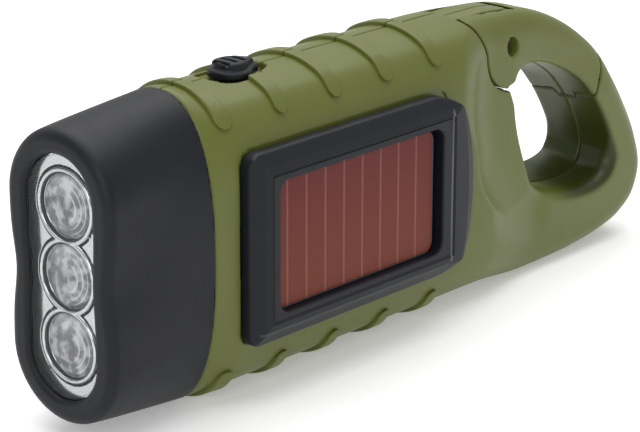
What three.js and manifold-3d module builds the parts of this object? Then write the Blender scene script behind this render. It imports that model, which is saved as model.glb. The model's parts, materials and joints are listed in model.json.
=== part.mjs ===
// Hand crank flashlight with a solar cell on one side, a folding crank on the other and a spring-gate ring.
// Millimetres. While it is built, x runs from the first grip rib to the tail, y from the solar side to the
// crank side with the parting plane of the two shells at zero, and z up from the middle of the body.
import * as THREE from "three";
import { mergeVertices } from "three/addons/utils/BufferGeometryUtils.js";
import Module from "manifold-3d";

const wasm = await Module();
wasm.setup();

// Driving sizes: body
const bodyHalfWidth = 12;
const bodyHalfHeight = 23.7;
const wall = 2;
const partingGap = 0.15;
const fitGap = 0.3;
const bodyFront = -4;
const bodyFull = 2;
const stationSpacing = 4;
const overrun = 5;

// Driving sizes: head
const headLength = 20.7;
const headFrontHalfHeight = 22;
const headFrontHalfWidth = 10.8;
const headRearHalfHeight = 24.1;
const headRearHalfWidth = 11.3;
const headWaist = 0.6;
const headRisePower = 0.8;
const headEdge = 1.6;
const lipLength = 3.4;
const windowHalfWidth = 6.9;
const windowRise = 11.6;
const windowRecess = 1.4;

// Driving sizes: lamps
const ledPitch = 10.55;
const cupRadius = 4.95;
const cupDepth = 7;
const cupThroat = 2.9;
const cupWall = 0.7;
const ledRadius = 2.5;
const ledLength = 8.6;
const ledFlange = 0.35;
const ledFlangeLength = 1;
const lensThickness = 0.8;
const boardThickness = 1.2;

// Driving sizes: ribs
const ribCount = 5;
const ribPitch = 12;
const ribWidth = 2.6;
const ribHeight = 0.8;
const ribReach = 18.8;

// Driving sizes: tail ring
const tailStart = 58;
const tailEnd = 111.7;
const ringHalfWidth = 7.2;
const ringEdge = 4.5;
const scoopRun = 12;
const cavityEnd = 54;

// Driving sizes: gate
const gatePinX = 71.4;
const gatePinZ = 16.8;
const gatePinRadius = 1.5;
const gateKnuckle = 7;
const gateReach = 27;
const gateGap = 0.35;
const webHalfWidth = 3.2;
const webRadius = 6;
const springRadius = 2.7;
const springWire = 0.5;
const springTurns = 3;
const springPitch = 1;
const springLeg = 2.4;
const springTurn = 20;
const runningGap = 0.12;

// Driving sizes: solar panel
const bezelStart = 1.4;
const bezelEnd = 49;
const bezelHalfHeight = 15;
const bezelRise = 0.9;
const bezelRim = 2.5;
const bezelCorner = 3;
const bezelDepth = 1;
const cellStart = 6.55;
const cellEnd = 43.5;
const cellHalfHeight = 10.3;
const cellRecess = 1.4;
const cellCorner = 2;
const cellThickness = 1.2;

// Driving sizes: slide switch
const knobFront = 7.8;
const knobLength = 8.6;
const knobHalfWidth = 3.4;
const knobNeckHalfWidth = 1.7;
const knobRise = 1.7;
const knobPadLength = 6.2;
const knobEdge = 0.5;
const knobSink = 1;
const switchForward = 2;
const switchBack = 1;
const switchStem = 5.2;
const switchStemHalfWidth = 1.4;
const gripCount = 3;
const gripPitch = 1.7;
const gripWidth = 0.7;
const gripDepth = 0.5;
const gripHalfLength = 1.6;
const switchBodyLength = 10;
const switchBodyHalfWidth = 3;
const boardDrop = 7.4;
const boardLength = 25;
const boardHalfWidth = 8;

// Driving sizes: crank
const crankX = 38;
const crankThrow = 33;
const armThickness = 6.6;
const armHalfWidth = 6.5;
const armClear = 0.6;
const armEdge = 1;
const hubRadius = 8;
const shaftRadius = 2.5;
const crankScrewRadius = 1.2;
const crankScrewHead = 2.6;
const crankScrewLength = 7;
const headRecess = 1.8;
const knobRadius = 3.2;
const knobSleeve = 15.5;
const knobSlotGap = 0.5;
const spindleRadius = 1.5;
const foldPinRadius = 1;
const foldBlock = 3;
const foldBlockHalfWidth = 2.6;

// Driving sizes: gear train
const backlash = 0.14;
const driveTeeth = 40;
const pinionTeeth = 12;
const firstTeeth = 32;
const secondTeeth = 28;
const firstAngle = 197;
const secondAngle = 140;
const thirdAngle = 290;
const axleRadius = 1;
const plateRadius = 4.6;
const pillarRadius = 1.6;
const bossRadius = 4.6;

// Driving sizes: generator and battery
const canWall = 0.6;
const rotorShaftRadius = 0.8;
const batteryStart = 36;
const batteryLength = 13;
const batteryFloorGap = 1.5;
const cellCount = 3;
const cellSkin = 0.25;

// Driving sizes: shell screws
const screwRadius = 1;
const screwHead = 2.1;
const screwHeadHeight = 1.5;
const screwGrip = 4;
const screwRecess = 2;

// Proportions. The section's arcs take shares of the body's half width. The gearbox, generator and battery
// take shares of the width inside the shells. Gears are as large as the height and the length there let them.
const crownShare = 1.175;
const cornerShare = 1 / 2.4;
const heightModuleShare = 0.0323;
const lengthModuleShare = 0.04375;
const batteryShare = 0.58;
const batteryGapShare = 0.08;
const gearWidthShare = 0.28;
const gearGapShare = 0.08;
const plateShare = 0.12;
const plateGapShare = 0.05;
const canLengthShare = 0.39;
const canGapShare = 0.04;
const canModules = 10;
const magnetShare = 0.53;
const coilShares = [0.615, 0.87];
const pillarReaches = [2.4, 1.9, 2.1];
const pillarAngles = [122, 240, 315];
const pillarArmShare = 1.4;
const pressureAngle = THREE.MathUtils.degToRad(20);
const addendumShare = 0.8;
const dedendumShare = 1.2;
const undercutShare = 0.97;
const seamNormal = THREE.MathUtils.degToRad(213);
const seamShare = 0.83;
const insideShares = [[0.25, -0.45], [1.06, -0.92]];
const webShare = 0.8;
const ribSlopeShares = [-0.5, -0.3, 0.3, 0.5];
const waistEndShare = 0.7;
const headStationShares = [0.25, 0.5, 0.7, 0.87, 1];
const hollowShares = [0, 0.25, 0.5, 0.75, 1];
const frontShares = [0, 0.4, 0.7];
const cupKneeRadiusShare = 0.75;
const cupKneeDepthShare = 0.35;
const bodyScrewShares = [0.52, -0.6];
const ringScrewShares = [[0.6, -0.79], [0.885, -0.3]];
const screwTipShare = 0.5;
const screwShoulderShare = 0.55;
const screwCrownShare = 0.7;

// Facet counts
const ringPoints = 36;
const tailSteps = 30;
const springSteps = 16;
const roundSteps = 16;
const smallSteps = 12;
const domeSteps = 4;
const edgeTurns = [0, 1, 2, 3].map((k) => (k * Math.PI) / 6);

// Worked out from the sizes above
const headFront = bodyFront - headLength;
const reflectorFace = headFront + windowRecess;
const crownRadius = crownShare * bodyHalfWidth;
const cornerRadius = cornerShare * bodyHalfWidth;
const insideHalfWidth = bodyHalfWidth - wall;
const insideHalfHeight = bodyHalfHeight - wall;
const armBottom = bodyHalfWidth + armClear;
const armTop = armBottom + armThickness;
const boardLevel = bodyHalfHeight - boardDrop;
const batteryRadius = batteryShare * insideHalfWidth;
const batteryY = batteryRadius - (1 - batteryGapShare) * insideHalfWidth;
const batteryZ = -(insideHalfHeight - batteryRadius - batteryFloorGap);
const gearModule = Math.min(
  heightModuleShare * insideHalfHeight, lengthModuleShare * (cavityEnd - crankX),
);
const gearWidth = gearWidthShare * insideHalfWidth;
const gearGap = gearGapShare * insideHalfWidth;
const plateThickness = plateShare * insideHalfWidth;
const plateGap = plateGapShare * insideHalfWidth;
const canRadius = canModules * gearModule;
const canLength = canLengthShare * insideHalfWidth;
const canBottom = canGapShare * insideHalfWidth - insideHalfWidth;
const canTop = canBottom + canLength;
const driveLevel = canTop + plateThickness + plateGap + 2 * (gearWidth + gearGap);
const firstLevel = driveLevel - gearWidth - gearGap;
const secondLevel = firstLevel - gearWidth - gearGap;
const plateLeftTop = secondLevel - plateGap;
const plateRightBottom = driveLevel + gearWidth + plateGap;
const bezelRimLevel = -bodyHalfWidth - bezelRim;
const cellFace = bezelRimLevel + cellRecess;

// Shape helpers

// A closed three.js geometry as a solid, with doubled points joined and empty triangles dropped.
function solid(geometry) {
  const bare = geometry.clone();
  bare.deleteAttribute("normal");
  bare.deleteAttribute("uv");
  const merged = mergeVertices(bare, 1e-4);
  const kept = [];
  for (let i = 0; i < merged.index.count; i += 3) {
    const [a, b, c] = [0, 1, 2].map((k) => merged.index.getX(i + k));
    if (a !== b && b !== c && c !== a) kept.push(a, b, c);
  }
  const make = (triVerts) =>
    new wasm.Manifold(
      new wasm.Mesh({
        numProp: 3,
        vertProperties: merged.attributes.position.array,
        triVerts: new Uint32Array(triVerts),
      }),
    );
  const made = make(kept);
  if (made.volume() >= 0) return made;
  return make(kept.reverse());
}

// A solid as a three.js geometry.
function geometryOf(made) {
  const mesh = made.getMesh();
  const geometry = new THREE.BufferGeometry();
  const points = new Float32Array(mesh.numVert * 3);
  for (let i = 0; i < mesh.numVert; i++) {
    points.set(mesh.vertProperties.subarray(i * mesh.numProp, i * mesh.numProp + 3), i * 3);
  }
  geometry.setAttribute("position", new THREE.BufferAttribute(points, 3));
  geometry.setIndex(new THREE.BufferAttribute(mesh.triVerts, 1));
  const flat = geometry.toNonIndexed();
  flat.computeVertexNormals();
  return flat;
}

const unite = (first, ...rest) => rest.reduce((sum, piece) => sum.add(piece), first);
const cut = (first, ...tools) => tools.reduce((left, tool) => left.subtract(tool), first);

// A profile drawn in x and z, given thickness along y from yLow to yHigh, with an optional rounded edge.
function plate(shape, yLow, yHigh, edge = 0, curveSegments = 6) {
  const depth = yHigh - yLow - 2 * edge;
  const geometry = new THREE.ExtrudeGeometry(shape, {
    depth,
    bevelEnabled: edge > 0,
    bevelThickness: edge,
    bevelSize: edge,
    bevelOffset: -edge,
    bevelSegments: 2,
    curveSegments,
  });
  geometry.rotateX(Math.PI / 2).translate(0, yHigh - edge, 0);
  return solid(geometry);
}

// A round piece on an axis along y through (x, z), from a profile of [radius, y] pairs.
function turnedY(profile, x, z, steps = roundSteps) {
  const points = profile.map(([r, y]) => new THREE.Vector2(r, y));
  return solid(new THREE.LatheGeometry(points, steps).translate(x, 0, z));
}

// The same on an axis along x through (y, z), from a profile of [radius, x] pairs.
function turnedX(profile, y, z, steps = roundSteps) {
  const points = profile.map(([r, along]) => new THREE.Vector2(r, along));
  return solid(new THREE.LatheGeometry(points, steps).rotateZ(-Math.PI / 2).translate(0, y, z));
}

const rodY = (x, z, radius, yLow, yHigh, steps) =>
  turnedY([[0, yLow], [radius, yLow], [radius, yHigh], [0, yHigh]], x, z, steps);
const rodX = (y, z, radius, xLow, xHigh, steps) =>
  turnedX([[0, xLow], [radius, xLow], [radius, xHigh], [0, xHigh]], y, z, steps);

function block(xLow, xHigh, yLow, yHigh, zLow, zHigh) {
  const box = new THREE.BoxGeometry(xHigh - xLow, yHigh - yLow, zHigh - zLow);
  return solid(box.translate((xLow + xHigh) / 2, (yLow + yHigh) / 2, (zLow + zHigh) / 2));
}

// A rectangle with round corners, drawn in x and z.
function roundedRectangle(xLow, xHigh, zLow, zHigh, radius) {
  const shape = new THREE.Shape();
  shape.moveTo(xLow + radius, zLow);
  shape.lineTo(xHigh - radius, zLow);
  shape.absarc(xHigh - radius, zLow + radius, radius, -Math.PI / 2, 0);
  shape.lineTo(xHigh, zHigh - radius);
  shape.absarc(xHigh - radius, zHigh - radius, radius, 0, Math.PI / 2);
  shape.lineTo(xLow + radius, zHigh);
  shape.absarc(xLow + radius, zHigh - radius, radius, Math.PI / 2, Math.PI);
  shape.lineTo(xLow, zLow + radius);
  shape.absarc(xLow + radius, zLow + radius, radius, Math.PI, 1.5 * Math.PI);
  return shape;
}

// A slab with two round ends between two centres in x and z.
function capsule(ax, az, bx, bz, radius) {
  const along = Math.atan2(bz - az, bx - ax);
  const shape = new THREE.Shape();
  shape.absarc(bx, bz, radius, along - Math.PI / 2, along + Math.PI / 2);
  shape.absarc(ax, az, radius, along + Math.PI / 2, along + 1.5 * Math.PI);
  shape.closePath();
  return shape;
}

// A closed skin over rings of points, one ring per station.
function loft(rings) {
  const count = rings[0].length;
  const positions = rings.flat().flatMap((point) => point.toArray());
  const index = [];
  for (let i = 0; i + 1 < rings.length; i++) {
    for (let j = 0; j < count; j++) {
      const a = i * count + j;
      const b = i * count + ((j + 1) % count);
      index.push(a, b, a + count, b, b + count, a + count);
    }
  }
  const centreOf = (ring) =>
    ring.reduce((sum, point) => sum.add(point), new THREE.Vector3()).divideScalar(count);
  [rings[0], rings[rings.length - 1]].forEach((ring, end) => {
    const centre = positions.length / 3;
    positions.push(...centreOf(ring).toArray());
    const start = end * (rings.length - 1) * count;
    for (let j = 0; j < count; j++) {
      const a = start + j;
      const b = start + ((j + 1) % count);
      index.push(...(end ? [centre, a, b] : [centre, b, a]));
    }
  });
  const geometry = new THREE.BufferGeometry();
  geometry.setAttribute("position", new THREE.Float32BufferAttribute(positions, 3));
  geometry.setIndex(index);
  return solid(geometry);
}

// Body form

// Distance from the axis to the crowned section in one direction: flat side, corner arc, crown arc.
function crownedReach(angle, halfWidth, halfHeight, crown, corner) {
  const c = Math.abs(Math.cos(angle));
  const s = Math.abs(Math.sin(angle));
  const crownZ = halfHeight - crown;
  const cornerY = halfWidth - corner;
  const cornerZ = crownZ + Math.sqrt((crown - corner) ** 2 - cornerY ** 2);
  if (halfWidth * s <= cornerZ * c) return halfWidth / c;
  const toCircle = (y, z, radius) => {
    const along = y * c + z * s;
    return along + Math.sqrt(along ** 2 - y ** 2 - z ** 2 + radius ** 2);
  };
  const reach = toCircle(cornerY, cornerZ, corner);
  const turn = Math.atan2(reach * s - cornerZ, reach * c - cornerY);
  if (turn <= Math.atan2(cornerZ - crownZ, cornerY)) return reach;
  return toCircle(0, crownZ, crown);
}

// A rounder section for the head joint, with a waist towards the front.
const roundPower = 2.4;
function roundReach(angle, halfWidth, halfHeight) {
  const c = Math.abs(Math.cos(angle)) / halfWidth;
  const s = Math.abs(Math.sin(angle)) / halfHeight;
  return (c ** roundPower + s ** roundPower) ** (-1 / roundPower);
}

// One ring of a section at station x. reachAt gives the distance from the axis for an angle.
function sectionRing(x, halfWidth, top, bottom, reachAt) {
  return Array.from({ length: ringPoints }, (_, i) => {
    const turn = (i / ringPoints) * 2 * Math.PI;
    const half = Math.sin(turn) > 0 ? top : bottom;
    const angle = Math.atan2(half * Math.sin(turn), halfWidth * Math.cos(turn));
    const reach = reachAt(angle, half);
    return new THREE.Vector3(x, reach * Math.cos(angle), reach * Math.sin(angle));
  });
}

const smooth = (from, to, value) => {
  const t = Math.min(Math.max((value - from) / (to - from), 0), 1);
  return t * t * (3 - 2 * t);
};
const mix = (a, b, t) => a + (b - a) * t;

// Side outline of the tail, from the top of the body round to its underside: shares of the tail length
// and of the body's half height.
const tailTopShares = [
  [0, 1], [0.193, 0.968], [0.385, 0.908], [0.565, 0.75], [0.727, 0.509],
  [0.816, 0.284], [0.894, 0.04],
];
const tailLowShares = [
  [0.961, -0.221], [1, -0.509], [0.963, -0.765], [0.884, -0.9], [0.803, -0.958],
  [0.72, -0.99], [0.635, -1.01], [0.551, -1.022], [0.333, -1.03], [0.163, -1.009], [0, -1],
];
const tailLength = tailEnd - tailStart;
const tailPoint = ([along, up]) =>
  new THREE.Vector2(tailStart + along * tailLength, up * bodyHalfHeight);

function tailTopAt(x) {
  const points = tailTopShares.map(tailPoint);
  for (let i = 0; i + 1 < points.length; i++) {
    const [a, b] = [points[i], points[i + 1]];
    if (x <= b.x) return mix(a.y, b.y, Math.max(x - a.x, 0) / (b.x - a.x));
  }
  return points[points.length - 1].y;
}

function bodyRing(x, inset) {
  const narrow = smooth(tailStart - ribPitch / 3, tailStart + 2 * ribPitch, x);
  const halfWidth = mix(bodyHalfWidth, ringHalfWidth, narrow);
  const scale = halfWidth / bodyHalfWidth;
  const top = tailTopAt(x);
  const round = 1 - smooth(bodyFront, bodyFull, x);
  const reachAt = (angle, half) => {
    const crowned = crownedReach(angle, halfWidth, half, crownRadius * scale, cornerRadius * scale);
    const rounded = roundReach(angle, headRearHalfWidth, headRearHalfHeight);
    return mix(crowned, rounded, round) - inset;
  };
  return sectionRing(x, halfWidth, top, bodyHalfHeight, reachAt);
}

// Stations where the round section at the head turns into the flat-sided one.
const frontStations = frontShares.map((share) => mix(bodyFront, bodyFull, share));
const lipEnd = bodyFront + lipLength;

function bodyForm(inset, xHigh) {
  const span = xHigh - bodyFull;
  const steps = Math.ceil(span / stationSpacing);
  const late = [];
  for (let i = 0; i <= steps; i++) {
    const x = mix(bodyFull, xHigh, i / steps);
    if (i === 0 || i === steps || x > cavityEnd - ribPitch / 2) late.push(x);
  }
  const stations = [...frontStations, ...late];
  return loft(stations.map((x) => bodyRing(x, inset)));
}

// The tail as a slab with round edges: its outline drawn in along its normals towards either face.
function tailForm() {
  const outline = new THREE.SplineCurve([...tailTopShares, ...tailLowShares].map(tailPoint))
    .getSpacedPoints(tailSteps);
  const normals = outline.map((point, i) => {
    const before = outline[Math.max(i - 1, 0)];
    const after = outline[Math.min(i + 1, tailSteps)];
    const along = after.clone().sub(before).normalize();
    return new THREE.Vector2(-along.y, along.x);
  });
  const layer = (side, turn) => {
    const y = side * (ringHalfWidth - ringEdge + ringEdge * Math.sin(turn));
    const inset = ringEdge * (1 - Math.cos(turn));
    return outline.map(
      (point, i) =>
        new THREE.Vector3(point.x - normals[i].x * inset, y, point.y - normals[i].y * inset),
    );
  };
  return loft([
    ...[...edgeTurns].reverse().map((turn) => layer(-1, turn)),
    ...edgeTurns.map((turn) => layer(1, turn)),
  ]);
}

// Hole of the ring: shares of the tail length and of the body's half height, from its upper left corner.
const holeShares = [
  [0.24, 0.418], [0.268, 0.439], [0.287, 0.502], [0.324, 0.54], [0.38, 0.536], [0.46, 0.489],
  [0.542, 0.405], [0.611, 0.308], [0.663, 0.198], [0.717, 0.051], [0.773, -0.152], [0.797, -0.31],
  [0.793, -0.4], [0.768, -0.482], [0.71, -0.532], [0.64, -0.54], [0.56, -0.522], [0.475, -0.475],
  [0.42, -0.42], [0.38, -0.363], [0.35, -0.301], [0.315, -0.186], [0.281, 0], [0.26, 0.177],
  [0.246, 0.397],
];

function holeOutline() {
  const points = holeShares.map(tailPoint);
  const loop = new THREE.SplineCurve([...points, points[0]]).getSpacedPoints(tailSteps);
  return new THREE.Shape(loop.slice(0, -1));
}

// Face of the ring beside the scoop, where the dish has come down to the ring's own thickness: shares of
// the tail length and of the body's half height.
const scoopShares = [
  [0.19, 2], [0.18, 0.75], [0.175, 0.4], [0.21, 0.05], [0.32, -0.25], [0.48, -0.5], [0.7, -0.75],
  [0.82, -2], [1.6, -2], [1.6, 2],
];

// The dish beside the hole: a cutter whose inner edge is a wide elliptical round.
function scoopTool(side) {
  const drop = bodyHalfWidth - ringHalfWidth;
  const geometry = new THREE.ExtrudeGeometry(new THREE.Shape(scoopShares.map(tailPoint)), {
    depth: overrun,
    bevelEnabled: true,
    bevelThickness: drop,
    bevelSize: scoopRun,
    bevelSegments: 6,
  });
  geometry.rotateX(Math.PI / 2);
  const inner = side < 0 ? -ringHalfWidth - drop : ringHalfWidth + drop + overrun;
  return solid(geometry.translate(0, inner, 0));
}

// One grip rib: a slice of the body form, thicker by the rib's height, kept above the reach of the rib.
function rib(x, up) {
  const stations = ribSlopeShares.map((share) => share * ribWidth);
  const rises = [0, ribHeight, ribHeight, 0];
  const slab = loft(stations.map((dx, i) => bodyRing(x + dx, -rises[i])));
  const reach = ribReach * up;
  const keep = up > 0
    ? block(x - ribWidth, x + ribWidth, -bodyHalfWidth, bodyHalfWidth, reach, 2 * bodyHalfHeight)
    : block(x - ribWidth, x + ribWidth, -bodyHalfWidth, bodyHalfWidth, -2 * bodyHalfHeight, reach);
  return slab.intersect(keep);
}

// The gate's own region of the ring in the side view, drawn in by a gap: a knuckle about the pin, and the
// band between a slanted seam on the left and an arc about the pin on the right.
function gateRegion(gap) {
  const seamX = gatePinX + (gateKnuckle * seamShare - gap) * Math.cos(seamNormal);
  const seamZ = gatePinZ + (gateKnuckle * seamShare - gap) * Math.sin(seamNormal);
  const alongX = -Math.sin(seamNormal) * gateReach;
  const alongZ = Math.cos(seamNormal) * gateReach;
  const reach = gateReach - gap;
  const band = new THREE.Shape([
    new THREE.Vector2(seamX, seamZ),
    new THREE.Vector2(gatePinX + insideShares[0][0] * reach, gatePinZ + insideShares[0][1] * reach),
    new THREE.Vector2(gatePinX + insideShares[1][0] * reach, gatePinZ + insideShares[1][1] * reach),
    new THREE.Vector2(gatePinX + 2 * reach, gatePinZ + insideShares[1][1] * reach),
    new THREE.Vector2(gatePinX + 2 * reach, gatePinZ + reach),
    new THREE.Vector2(seamX - alongX, seamZ - alongZ),
  ]);
  const deep = 2 * bodyHalfWidth;
  const swing = rodY(gatePinX, gatePinZ, reach, -deep, deep, 4 * roundSteps);
  const knuckle = rodY(gatePinX, gatePinZ, gateKnuckle - gap, -deep, deep, 2 * roundSteps);
  return unite(plate(band, -deep, deep).intersect(swing), knuckle);
}

// Gears

// A spur gear drawn in x and z with one tooth centred on the +x side, as a plain involute outline.
function gearShape(teeth) {
  const pitchRadius = (gearModule * teeth) / 2;
  const base = pitchRadius * Math.cos(pressureAngle);
  const tip = pitchRadius + addendumShare * gearModule;
  const root = pitchRadius - dedendumShare * gearModule;
  const involute = (r) => {
    const angle = Math.acos(Math.min(base / Math.max(r, base), 1));
    return Math.tan(angle) - angle;
  };
  const half = Math.PI / (2 * teeth) - backlash / (2 * pitchRadius) + involute(pitchRadius);
  const flank = [Math.max(root, base * undercutShare), tip].map((r) => [r, half - involute(r)]);
  if (root < base * undercutShare) flank.unshift([root, half * undercutShare]);
  const outline = [];
  for (let i = 0; i < teeth; i++) {
    const middle = (i / teeth) * 2 * Math.PI;
    const polar = (r, turn) => new THREE.Vector2(r * Math.cos(turn), r * Math.sin(turn));
    flank.forEach(([r, turn]) => outline.push(polar(r, middle - turn)));
    [...flank].reverse().forEach(([r, turn]) => outline.push(polar(r, middle + turn)));
  }
  return new THREE.Shape(outline);
}

const gearSolid = (teeth, bore, level) =>
  cut(
    plate(gearShape(teeth), level, level + gearWidth),
    rodY(0, 0, bore, level - overrun, level + gearWidth + overrun),
  );

const centreDistance = (a, b) => (gearModule * (a + b)) / 2;

// Turn of a gear that puts one of its spaces on a tooth of its neighbour. from is the neighbour's turn.
function meshTurn(from, fromTeeth, teeth, direction) {
  const facing = ((direction - from) * fromTeeth) / (2 * Math.PI);
  return direction + Math.PI - ((0.5 - facing) * 2 * Math.PI) / teeth;
}

const inRadians = THREE.MathUtils.degToRad;
const step = (from, length, degrees) => ({
  x: from.x + length * Math.cos(inRadians(degrees)),
  z: from.z + length * Math.sin(inRadians(degrees)),
});
const crankAxis = { x: crankX, z: 0 };
const firstAxis = step(crankAxis, centreDistance(driveTeeth, pinionTeeth), firstAngle);
const secondAxis = step(firstAxis, centreDistance(firstTeeth, pinionTeeth), secondAngle);
const rotorAxis = step(secondAxis, centreDistance(secondTeeth, pinionTeeth), thirdAngle);
const driveTurn = 0;
const firstPinionTurn = meshTurn(driveTurn, driveTeeth, pinionTeeth, inRadians(firstAngle));
const secondPinionTurn = meshTurn(firstPinionTurn, firstTeeth, pinionTeeth, inRadians(secondAngle));
const rotorTurn = meshTurn(secondPinionTurn, secondTeeth, pinionTeeth, inRadians(thirdAngle));

function compoundGear(largeTeeth, largeLevel, smallLevel) {
  const bore = axleRadius + runningGap;
  const hub = turnedY(
    [
      [bore, largeLevel + gearWidth / 2],
      [2 * bore, largeLevel + gearWidth / 2],
      [2 * bore, smallLevel + gearWidth / 2],
      [bore, smallLevel + gearWidth / 2],
      [bore, largeLevel + gearWidth / 2],
    ],
    0,
    0,
  );
  return unite(
    gearSolid(largeTeeth, bore, largeLevel),
    gearSolid(pinionTeeth, bore, smallLevel),
    hub,
  );
}

// Head

function headRing(x, inset) {
  const along = (x - headFront) / headLength;
  const halfWidth = mix(headFrontHalfWidth, headRearHalfWidth, along);
  const halfHeight = mix(headFrontHalfHeight, headRearHalfHeight, along ** headRisePower);
  const reachAt = (angle) => {
    const stadium = crownedReach(angle, halfWidth, halfHeight, halfWidth, halfWidth);
    const rounded = roundReach(angle, halfWidth, halfHeight);
    const reach = mix(stadium, rounded, smooth(0, 1, along));
    const up = (reach * Math.sin(angle)) / windowHalfWidth;
    const waist = headWaist * Math.exp(-up * up) * (1 - smooth(0, waistEndShare, along));
    return reach - waist * Math.abs(Math.cos(angle)) - inset;
  };
  return sectionRing(x, halfWidth, halfHeight, halfHeight, reachAt);
}

const stadium = (halfWidth, rise) => {
  const shape = new THREE.Shape();
  shape.absarc(0, rise, halfWidth, 0, Math.PI);
  shape.absarc(0, -rise, halfWidth, Math.PI, 2 * Math.PI);
  shape.closePath();
  return shape;
};

// A stadium plate facing the front of the lamp, from xLow to xHigh.
function frontPlate(halfWidth, rise, xLow, xHigh) {
  const geometry = new THREE.ExtrudeGeometry(stadium(halfWidth, rise), {
    depth: xHigh - xLow,
    bevelEnabled: false,
    curveSegments: 12,
  });
  return solid(geometry.rotateX(Math.PI / 2).rotateZ(Math.PI / 2).translate(xLow, 0, 0));
}

const ledHeights = [ledPitch, 0, -ledPitch];
const boardFace = reflectorFace + cupDepth + wall;

function headShell() {
  const outer = loft([
    ...edgeTurns.map((turn) =>
      headRing(headFront + headEdge * (1 - Math.cos(turn)), headEdge * (1 - Math.sin(turn))),
    ),
    ...headStationShares.map((share) => headRing(headFront + share * headLength, 0)),
  ]);
  const lip = loft(
    [bodyFront - wall, ...frontStations.filter((x) => x < lipEnd), lipEnd].map((x) =>
      bodyRing(Math.max(x, bodyFront), wall + fitGap).map((point) => point.setX(x)),
    ),
  );
  const hollow = loft(
    hollowShares.map((share) => {
      const x = mix(reflectorFace, bodyFront, share);
      return headRing(x, wall + share * (wall + fitGap));
    }),
  );
  const bore = loft(
    [bodyFront - wall, bodyFront + lipLength + overrun].map((x) =>
      bodyRing(bodyFront, 2 * wall + fitGap).map((point) => point.setX(x)),
    ),
  );
  const window = frontPlate(windowHalfWidth, windowRise, headFront - overrun, reflectorFace + overrun);
  return cut(unite(outer, lip), hollow, bore, window);
}

// Lamps

function reflector() {
  const plateBack = reflectorFace + wall / 2;
  const rim = frontPlate(windowHalfWidth + wall / 3, windowRise, reflectorFace, plateBack);
  const tubes = ledHeights.map((z) => rodX(0, z, cupRadius + cupWall, reflectorFace, boardFace));
  const cups = ledHeights.map((z) =>
    turnedX(
      [
        [0, reflectorFace - overrun],
        [cupRadius, reflectorFace - overrun],
        [cupRadius, reflectorFace],
        [mix(cupThroat, cupRadius, cupKneeRadiusShare), reflectorFace + cupKneeDepthShare * cupDepth],
        [cupThroat, reflectorFace + cupDepth],
        [cupThroat, boardFace - ledFlangeLength - fitGap],
        [ledRadius + ledFlange + fitGap, boardFace - ledFlangeLength - fitGap],
        [ledRadius + ledFlange + fitGap, boardFace + overrun],
        [0, boardFace + overrun],
      ],
      0,
      z,
    ),
  );
  return cut(unite(rim, ...tubes), ...cups);
}

function led(z) {
  const base = boardFace - runningGap;
  const middle = base - ledLength + ledRadius;
  const dome = Array.from({ length: domeSteps + 1 }, (_, k) => {
    const turn = (k * Math.PI) / (2 * domeSteps);
    return [ledRadius * Math.sin(turn), middle - ledRadius * Math.cos(turn)];
  });
  return turnedX(
    [
      ...dome,
      [ledRadius, base - ledFlangeLength],
      [ledRadius + ledFlange, base - ledFlangeLength],
      [ledRadius + ledFlange, base],
      [0, base],
    ],
    0,
    z,
    smallSteps,
  );
}

const lensFront = reflectorFace - lensThickness;
const headLens = () =>
  frontPlate(windowHalfWidth - partingGap, windowRise, lensFront, reflectorFace);
const ledBoard = () =>
  frontPlate(ledPitch / 2 + wall / 2, ledPitch, boardFace, boardFace + boardThickness);

// Solar panel

const bezelSeat = -bodyHalfWidth + bezelDepth;

function solarBezel() {
  const outline = roundedRectangle(
    bezelStart, bezelEnd, -bezelHalfHeight, bezelHalfHeight, bezelCorner,
  );
  const slope = bezelRim - bezelRise;
  const raised = plate(outline, bezelRimLevel, bezelSeat + slope, slope, 3);
  const kept = block(
    bezelStart, bezelEnd, bezelRimLevel, bezelSeat, -bezelHalfHeight, bezelHalfHeight,
  );
  const window = plate(
    roundedRectangle(cellStart, cellEnd, -cellHalfHeight, cellHalfHeight, cellCorner),
    bezelRimLevel - overrun,
    bezelSeat + overrun,
    0,
    5,
  );
  return cut(raised.intersect(kept), window);
}

const solarCell = () =>
  plate(
    roundedRectangle(
      cellStart + partingGap,
      cellEnd - partingGap,
      -cellHalfHeight + partingGap,
      cellHalfHeight - partingGap,
      cellCorner,
    ),
    cellFace,
    cellFace + cellThickness,
    0,
    5,
  );

// Slide switch

const knobLevel = bodyHalfHeight;
const knobMiddle = knobFront + knobLength / 2 + gripWidth;
const pocketFloor = knobLevel - knobSink;

// A shape drawn in x and y, given height along z.
function slab(shape, zLow, zHigh, edge = 0) {
  return solid(
    new THREE.ExtrudeGeometry(shape, {
      depth: zHigh - zLow - 2 * edge,
      bevelEnabled: edge > 0,
      bevelThickness: edge,
      bevelSize: edge,
      bevelOffset: -edge,
      bevelSegments: 1,
      curveSegments: 4,
    }).translate(0, 0, zLow + edge),
  );
}

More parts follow.
